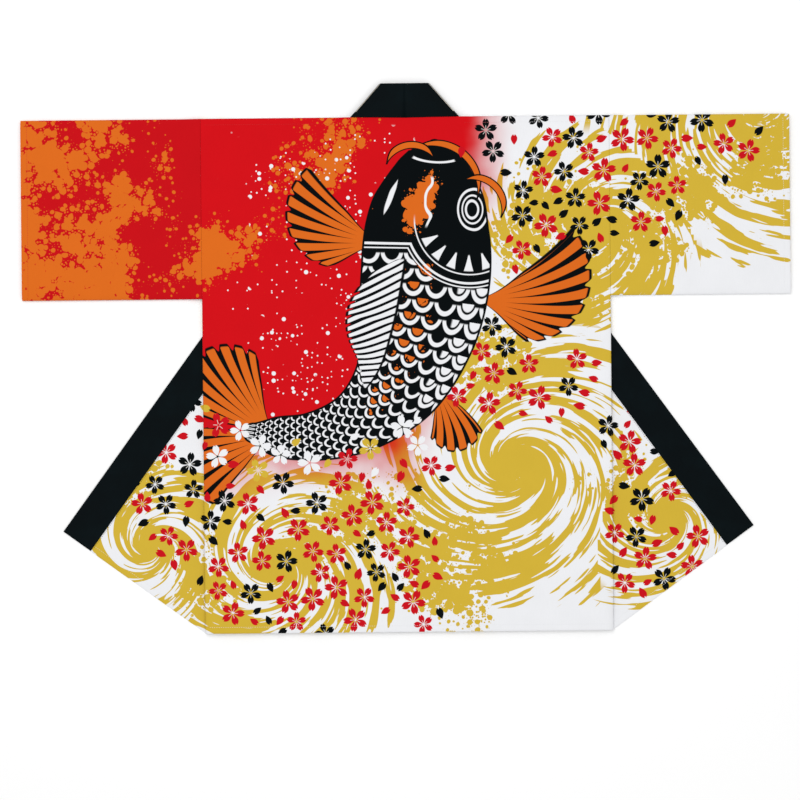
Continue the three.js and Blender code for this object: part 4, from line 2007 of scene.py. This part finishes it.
@dataclass
class Front:
    """A front: one cloth, turned back on the diagonal crease so that its outside shows."""

    side: Side
    finishes: Finishes
    step: float = 0.0042
    under_band: float = 0.008
    unevenness: float = 0.0003
    half_bend: float = 0.00065

    @property
    def crease(self) -> Crease:
        """The crease on which this front turns."""
        return front_crease(self.side)

    def seam_x(self, y: float) -> float:
        """Where the band's seam is at a height, from the coat's middle."""
        turn = COAT.band_turn
        slope = (COAT.neck_base - COAT.band_seam) / (COAT.shoulder - turn)
        return COAT.band_seam + slope * max(y - turn, 0.0)

    def shape(self, flat: Vector, lift: float = 0.0) -> Vector:
        """Where a place of the flat front lies.

        Args:
            flat: the place with the coat closed.
            lift: how far outside the cloth's middle.

        Returns:
            The place in the frame.
        """
        out, drop = turned_under(COAT.hem - flat.y, COAT.hem_turn)
        place = Vector((flat.x, COAT.hem - out, 0.0))
        rise = drop - lift * (-1 if drop > COAT.hem_turn else 1)
        up = SEAM_LEVEL - SEAM_GAP / 2 - COAT.front_level
        still = -self.crease.past(place)
        if still > 0:
            dropped = edge_drop(place.x, place.y, COAT.edge_round)
            rise += up * dropped * seam_lift(self.side, place.x, place.y)
            inside = min(still, COAT.half_body - abs(place.x), COAT.shoulder - place.y)
            rise += waves(place.x, place.y, 21.0, self.unevenness, 7.0) * smooth(0, 50 * MM, inside)
        return self.crease.fold(place, rise)

    def build(self) -> bpy.types.Object:
        """Cuts the front, turns it back and dresses it."""
        sign = self.side.value
        allowance = hem_places(COAT.hem, COAT.hem_depth, COAT.hem_turn, -1)[::-1]
        ys = allowance + graded(COAT.hem, COAT.shoulder, self.step, False, True)
        xs = graded(COAT.band_seam - self.under_band, COAT.half_body, self.step, False, True)
        if self.side is Side.LEFT:
            xs = [-x for x in reversed(xs)]
        bm = cut_cloth(xs, ys)
        inner = COAT.band_seam - self.under_band
        width = COAT.half_body - COAT.band_seam + self.under_band
        for v in bm.verts:
            pull = 1 - (abs(v.co.x) - inner) / width
            v.co.x += sign * pull * (self.seam_x(v.co.y) - COAT.band_seam)
        self.crease.cut(bm, CREASE_CUTS)
        write_pattern(bm, self.print_place)
        bmesh.ops.reverse_faces(bm, faces=bm.faces)
        lay_out(bm, self.shape)
        name = f"{self.side.word}_front_cloth"
        made = make_object(name, bm, (self.finishes.front_outside, self.finishes.inside))
        write_print(made, 0.0, False)
        thicken(made, COAT.cloth, 1)
        self.hold(made)
        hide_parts(f"{self.side.word}_front_panel", f"{self.side.word}_front_turnback")
        COAT.length + COAT.hem_depth
        return made

    def print_place(self, flat: Vector) -> Point:
        """The place on the print, which is where the front lies once it has turned."""
        turned = self.crease.mirrored(flat)
        return turned.x, COAT.from_hem(turned.y)

    def hold(self, piece: bpy.types.Object) -> None:
        """Bakes a piece of the front's placement into its own mesh."""
        start = (0.0, 0.0, COAT.crease_height + self.half_bend)
        end = (0.0, 0.0, COAT.crease_height - self.half_bend)
        f"{self.side.word}_front"
        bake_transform(piece)


@dataclass
class CollarBand:
    """Half of the collar band: a strip folded in two, from the hem up and round the neck."""

    side: Side
    finishes: Finishes
    leaf_rise: float = 0.0008
    step: float = 0.0045
    neck_overlap: float = 0.0015
    seam_at_pivot: float = 0.93
    seam_beside_neck: float = 0.07
    half_bend: float = 0.0004
    across_mm: tuple[float, ...] = (
        0.0, 0.4, 0.8, 1.26, 2.0, 4.0, 9.0, 16.0, 23.0, 30.0, 37.0, 43.0, 47.5, 50.0, 51.4, 52.457,
    )

    @property
    def crease(self) -> Crease:
        """The diagonal crease of the front that this band edges."""
        return front_crease(self.side)

    @property
    def neck(self) -> Crease:
        """The slanted fold beside the neck."""
        return neck_crease(self.side)

    def rows(self) -> list[Row]:
        """The rows across the flat strip, for the right side.

        Returns:
            Each row's free edge and seam, with the coat closed.
        """
        mirrored = neck_crease(Side.RIGHT).mirrored
        heights = graded(COAT.hem, COAT.band_turn, self.step, True, False)
        made = [(Vector((COAT.free_edge, y, 0)), Vector((COAT.band_seam, y, 0))) for y in heights]
        corner = Vector((COAT.pivot[0], COAT.pivot[1], 0))
        top = Vector((COAT.neck_top, COAT.collar_top, 0))
        base = Vector((COAT.neck_base, COAT.shoulder, 0))
        last_free = mirrored(Vector((0, COAT.collar_top, 0)))
        last_seam = mirrored(Vector((0, COAT.shoulder - self.neck_overlap, 0)))
        first_free, first_seam = made[-1]
        for k in range(1, 31):
            made.append((first_free.lerp(corner, k / 30), first_seam.lerp(base, k / 30 * self.seam_at_pivot)))
        for k in range(1, 5):
            seam_part = self.seam_at_pivot + self.seam_beside_neck * k / 4
            made.append((corner.lerp(top, k / 4), first_seam.lerp(base, seam_part)))
        for k in range(1, 15):
            made.append((top.lerp(last_free, k / 14), base.lerp(last_seam, k / 14)))
        return made

    def build(self) -> bpy.types.Object:
        """Cuts the strip, folds it in two, turns it on both creases and dresses it."""
        rows = self.rows()
        offsets = [-a * MM for a in reversed(self.across_mm)] + [a * MM for a in self.across_mm[1:]]
        turn = math.pi * self.leaf_rise / 2
        width = offsets[-1] - turn + self.leaf_rise
        run = [0.0]
        for before, after in zip(rows, rows[1:]):
            run.append(run[-1] + ((after[0] + after[1]) / 2 - (before[0] + before[1]) / 2).length)
        bm = cut_cloth(offsets, run)
        write_pattern(bm, lambda co: (co.x, co.y))
        lookup = {round(r, 7): k for k, r in enumerate(run)}
        for v in bm.verts:
            free, seam = rows[min(lookup.items(), key=lambda item: abs(item[0] - v.co.y))[1]]
            angle = min(max(v.co.x / self.leaf_rise, -math.pi / 2), math.pi / 2)
            straight = max(abs(v.co.x) - turn, 0.0)
            part = (self.leaf_rise * (1 - math.cos(angle)) + straight) / width
            pinch = 0.35 + 0.65 * smooth(0.0, 2.5 * MM, v.co.y)
            spot = free.lerp(seam, part)
            v.co = (spot.x * self.side.value, spot.y, self.leaf_rise * math.sin(angle) * pinch)
        self.crease.cut(bm, CREASE_CUTS)
        self.neck.cut(bm, CREASE_CUTS)
        if self.side is Side.LEFT:
            bmesh.ops.reverse_faces(bm, faces=bm.faces)
        lay_out(bm, self.shape)
        name = f"{self.side.word}_band_cloth"
        made = make_object(name, bm, (self.finishes.black_cotton,))
        thicken(made, COAT.cloth)
        word = self.side.word
        start = (0.0, 0.0, COAT.crease_height + self.half_bend)
        end = (0.0, 0.0, COAT.crease_height - self.half_bend)
        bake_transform(made)
        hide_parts(f"{word}_collar_band", "collar_neck")
        2 * offsets[-1]
        return made

    def shape(self, flat: Vector, lift: float = 0.0) -> Vector:
        """Where a place of the folded strip lies.

        Args:
            flat: the place with the coat closed, with its own height over the strip's middle.
            lift: how far outside the strip's middle.

        Returns:
            The place in the frame.
        """
        rise = flat.z - lift
        if self.neck.past(flat) > -self.neck.reach:
            return self.neck.fold(flat, rise)
        return self.crease.fold(flat, rise)


# ---------------------------------------------------------------- sewing thread


@dataclass
class Stitching:
    """A row of stitches that follows a cloth."""

    name: str
    ends: tuple[Point, Point]
    shape: Callable[[Vector, float], Vector]
    print_place: Callable[[Vector], Point]
    material: bpy.types.Material
    lift: float
    stitch: float = 0.0026
    gap: float = 0.0009
    width: float = 0.0005
    flatness: float = 0.36

    def build(self) -> bpy.types.Object:
        """Lays the stitches one by one along the row.

        Returns:
            The row of stitches.
        """
        start, end = (Vector((x, y, 0.0)) for x, y in self.ends)
        run = end - start
        count = max(round(run.length / (self.stitch + self.gap)), 1)
        pitch = run / count
        aside = Vector((-run.y, run.x, 0.0)).normalized() * MM
        bm = bmesh.new()
        bm.loops.layers.uv.new(PATTERN_MAP)
        half_share = self.stitch / (self.stitch + self.gap) / 2
        for k in range(count):
            first = start + pitch * (k + 0.5 - half_share)
            last = start + pitch * (k + 0.5 + half_share)
            self.add_stitch(bm, first, last, aside)
        return make_object(self.name, bm, (self.material,))

    def add_stitch(self, bm: bmesh.types.BMesh, first: Vector, last: Vector, aside: Vector) -> None:
        """Adds one stitch, a flat pill that lies on the cloth.

        Args:
            bm: the row.
            first: where it goes in, on the flat cut.
            last: where it comes out.
            aside: a short step to its side.
        """
        middle = (first + last) / 2
        here, there = self.shape(first, self.lift), self.shape(last, self.lift)
        way = (there - here).normalized()
        out = way.cross(self.shape(middle + aside, self.lift) - (here + there) / 2).normalized()
        turned = Matrix((way, out.cross(way), out)).transposed().to_4x4()
        turned.translation = (here + there) / 2
        size = Matrix.Diagonal((self.stitch / 2, self.width / 2, self.width * self.flatness, 1.0))
        made = bmesh.ops.create_uvsphere(bm, u_segments=6, v_segments=5, radius=1.0, matrix=turned @ size)
        place = self.print_place(middle)
        layer = bm.loops.layers.uv[PATTERN_MAP]
        for face in {f for v in made["verts"] for f in v.link_faces}:
            for loop in face.loops:
                loop[layer].uv = place


def on_the_back(place: Vector) -> Point:
    """The place in the print under a thread that lies flat on the back."""
    return (place.x, COAT.from_hem(place.y))


def ride_torso(piece: bpy.types.Object) -> None:
    """Holds a piece to the body."""
    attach(piece, "torso")


def sew(row: Stitching, hold: Callable[[bpy.types.Object], None], node: str, slot: str) -> None:
    """Makes a row of stitches, hands it to hold and hides the CAD node that it stands for.

    Args:
        row: the row.
        hold: holds it to its cloth's body.
        node: the CAD node that it stands for.
        slot: not used.
    """
    piece = row.build()
    hold(piece)
    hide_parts(node)


ON_CLOTH = 0.3 * MM
IN_SEAM = -0.35 * MM
ON_BAND = 1.15 * MM
HEM_ROW = 9.2 * MM
SHORT_OF_EDGE = 6 * MM


def body_threads(back: BackPanel, finishes: Finishes) -> None:
    """Sews the rows that ride on the body.

    Args:
        back: the back, on which they lie.
        finishes: the coat's materials.
    """
    half = COAT.half_body
    hem, neck = COAT.hem + HEM_ROW, COAT.shoulder - 0.5 * MM
    hem_ends = ((-half + SHORT_OF_EDGE, hem), (half - SHORT_OF_EDGE, hem))
    neck_ends = ((-80 * MM, neck), (80 * MM, neck))
    red, black = finishes.print_thread, finishes.black_thread
    sew(Stitching("back_hem_thread", hem_ends, back.shape, on_the_back, red, ON_CLOTH),
        ride_torso, "back_hem_stitching", "red_thread")
    sew(Stitching("neck_thread", neck_ends, back.shape, on_the_back, black, ON_BAND),
        ride_torso, "neck_stitching", "black_thread")
    for side in Side:
        sign = side.value
        shoulder = COAT.shoulder - 9.75 * MM
        seam = sign * (half - 3.75 * MM)
        rows = (
            ("shoulder", ((sign * 92 * MM, shoulder), (sign * (half - SHORT_OF_EDGE), shoulder)), ON_CLOTH),
            ("armhole", ((seam, COAT.underarm + 2 * MM), (seam, COAT.shoulder - SHORT_OF_EDGE)), IN_SEAM),
            ("side", ((seam, COAT.hem + 16 * MM), (seam, COAT.underarm - SHORT_OF_EDGE)), IN_SEAM),
        )
        for part, ends, lift in rows:
            name = f"{side.word}_{part}"
            sew(Stitching(f"{name}_thread", ends, back.shape, on_the_back, red, lift),
                ride_torso, f"{name}_stitching", "red_thread")


def sleeve_threads(sleeve: Sleeve, finishes: Finishes) -> None:
    """Sews the cuff and the underarm seam of a sleeve.

    Args:
        sleeve: the sleeve.
        finishes: the coat's materials.
    """
    sign = sleeve.side.value
    cuff = sign * (COAT.cuff - HEM_ROW)
    cuff_ends = ((cuff, SHORT_OF_EDGE), (cuff, COAT.sleeve_depth - SHORT_OF_EDGE))
    seam = 4.2 * MM
    seam_ends = ((sign * (COAT.half_body + 33 * MM), seam), (sign * (COAT.cuff - 16 * MM), seam))
    for part, ends, lift in (("cuff", cuff_ends, ON_CLOTH), ("underarm", seam_ends, IN_SEAM)):
        name = f"{sleeve.side.word}_{part}"
        sew(Stitching(f"{name}_thread", ends, sleeve.shape, sleeve.print_place, finishes.print_thread, lift),
            sleeve.hold, f"{name}_stitching", "red_thread")


def front_threads(front: Front, finishes: Finishes) -> None:
    """Sews the hem and the band seam of a front.

    Args:
        front: the front.
        finishes: the coat's materials.
    """
    sign = front.side.value
    hem = COAT.hem + HEM_ROW
    beside = sign * (COAT.band_seam + 1.6 * MM)
    hem_ends = ((beside, hem), (sign * (COAT.half_body - 8 * MM), hem))
    band_ends = ((beside, COAT.hem + SHORT_OF_EDGE), (beside, COAT.band_turn - 8 * MM))
    rows = (
        ("front_hem", hem_ends, "red_thread", finishes.print_thread),
        ("band", band_ends, "black_thread", finishes.black_thread),
    )
    for part, ends, slot, material in rows:
        name = f"{front.side.word}_{part}"
        sew(Stitching(f"{name}_thread", ends, front.shape, front.print_place, material, ON_CLOTH),
            front.hold, f"{name}_stitching", slot)


# ---------------------------------------------------------------- the studio


@dataclass(frozen=True)
class Lamp:
    """A soft square lamp that faces the coat: its name, place and side in metres, and power in watts."""

    name: str
    place: tuple[float, float, float]
    size: float
    power: float

    def build(self) -> None:
        """Hangs the lamp."""
        light = bpy.data.lights.new(self.name, "AREA")
        light.shape = "SQUARE"
        light.size = self.size
        light.energy = self.power
        lamp = bpy.data.objects.new(self.name, light)
        lamp.location = self.place
        lamp.rotation_euler = (Vector((0, 0, 0)) - Vector(self.place)).to_track_quat("-Z", "Y").to_euler()
        bpy.context.scene.collection.objects.link(lamp)


@dataclass(frozen=True)
class Studio:
    """A pale floor, soft overhead light and a camera that looks straight down."""

    view_width: float = 1.247
    lens: float = 85.0
    sensor: float = 36.0
    middle: Point = (-0.0114, -0.0660)
    turn: float = -0.55
    floor_half: float = 6.0
    floor_gap: float = 0.0003
    air: float = 0.56
    lamps: tuple[Lamp, ...] = (
        Lamp("studio_overhead", (-0.9, 1.0, 3.2), 2.6, 58.0),
        Lamp("studio_fill", (1.4, -1.2, 3.0), 2.6, 22.0),
    )

    def build(self) -> None:
        """Lays the floor and sets the camera and the lights."""
        self.lay_floor()
        self.set_camera()
        for lamp in self.lamps:
            lamp.build()
        world = bpy.data.worlds.new("studio_air")
        bpy.context.scene.world = world
        world.use_nodes = True
        background = world.node_tree.nodes["Background"]
        background.inputs["Color"].default_value = (1.0, 1.0, 1.0, 1.0)
        background.inputs["Strength"].default_value = self.air
        bpy.context.scene.view_settings.view_transform = "Standard"

    def lay_floor(self) -> None:
        """Lays the floor just under the coat."""
        bm = bmesh.new()
        bmesh.ops.create_grid(bm, x_segments=1, y_segments=1, size=self.floor_half)
        bmesh.ops.translate(bm, verts=bm.verts, vec=(0.0, 0.0, -self.floor_gap))
        floor = make_object("studio_floor", bm, (PaleFloor().make(),))

    def set_camera(self) -> None:
        """Sets the camera over the coat."""
        lens = bpy.data.cameras.new("studio_camera")
        lens.lens = self.lens
        lens.sensor_width = self.sensor
        lens.clip_end = 50.0
        camera = bpy.data.objects.new("studio_camera", lens)
        camera.location = (*self.middle, self.view_width * self.lens / self.sensor)
        camera.rotation_euler = (0.0, 0.0, math.radians(self.turn))
        bpy.context.scene.collection.objects.link(camera)
        bpy.context.scene.camera = camera


# ---------------------------------------------------------------- the whole coat


def dress_interlinings(material: bpy.types.Material) -> None:
    """Gives the stiffening cloth inside the band its own finish."""
    for name, node in frame["nodes"].items():
        if name.endswith("interlining"):
            for slot in node.material_slots:
                slot.material = material


def main() -> None:
    """Builds the coat piece by piece, then the studio around it."""
    logging.basicConfig(level=logging.INFO, format="%(name)s: %(message)s")
    finishes = make_finishes()
    back = BackPanel(finishes)
    pieces = [back.build()]
    body_threads(back, finishes)
    for side in Side:
        sleeve, front = Sleeve(side, finishes), Front(side, finishes)
        pieces += [sleeve.build(), front.build(), CollarBand(side, finishes).build()]
        sleeve_threads(sleeve, finishes)
        front_threads(front, finishes)
    dress_interlinings(finishes.interlining)
    for piece in pieces:
        LOG.info("%s: %d faces", piece.name, len(piece.data.polygons))
    Studio().build()


if __name__ == "__main__":
    main()
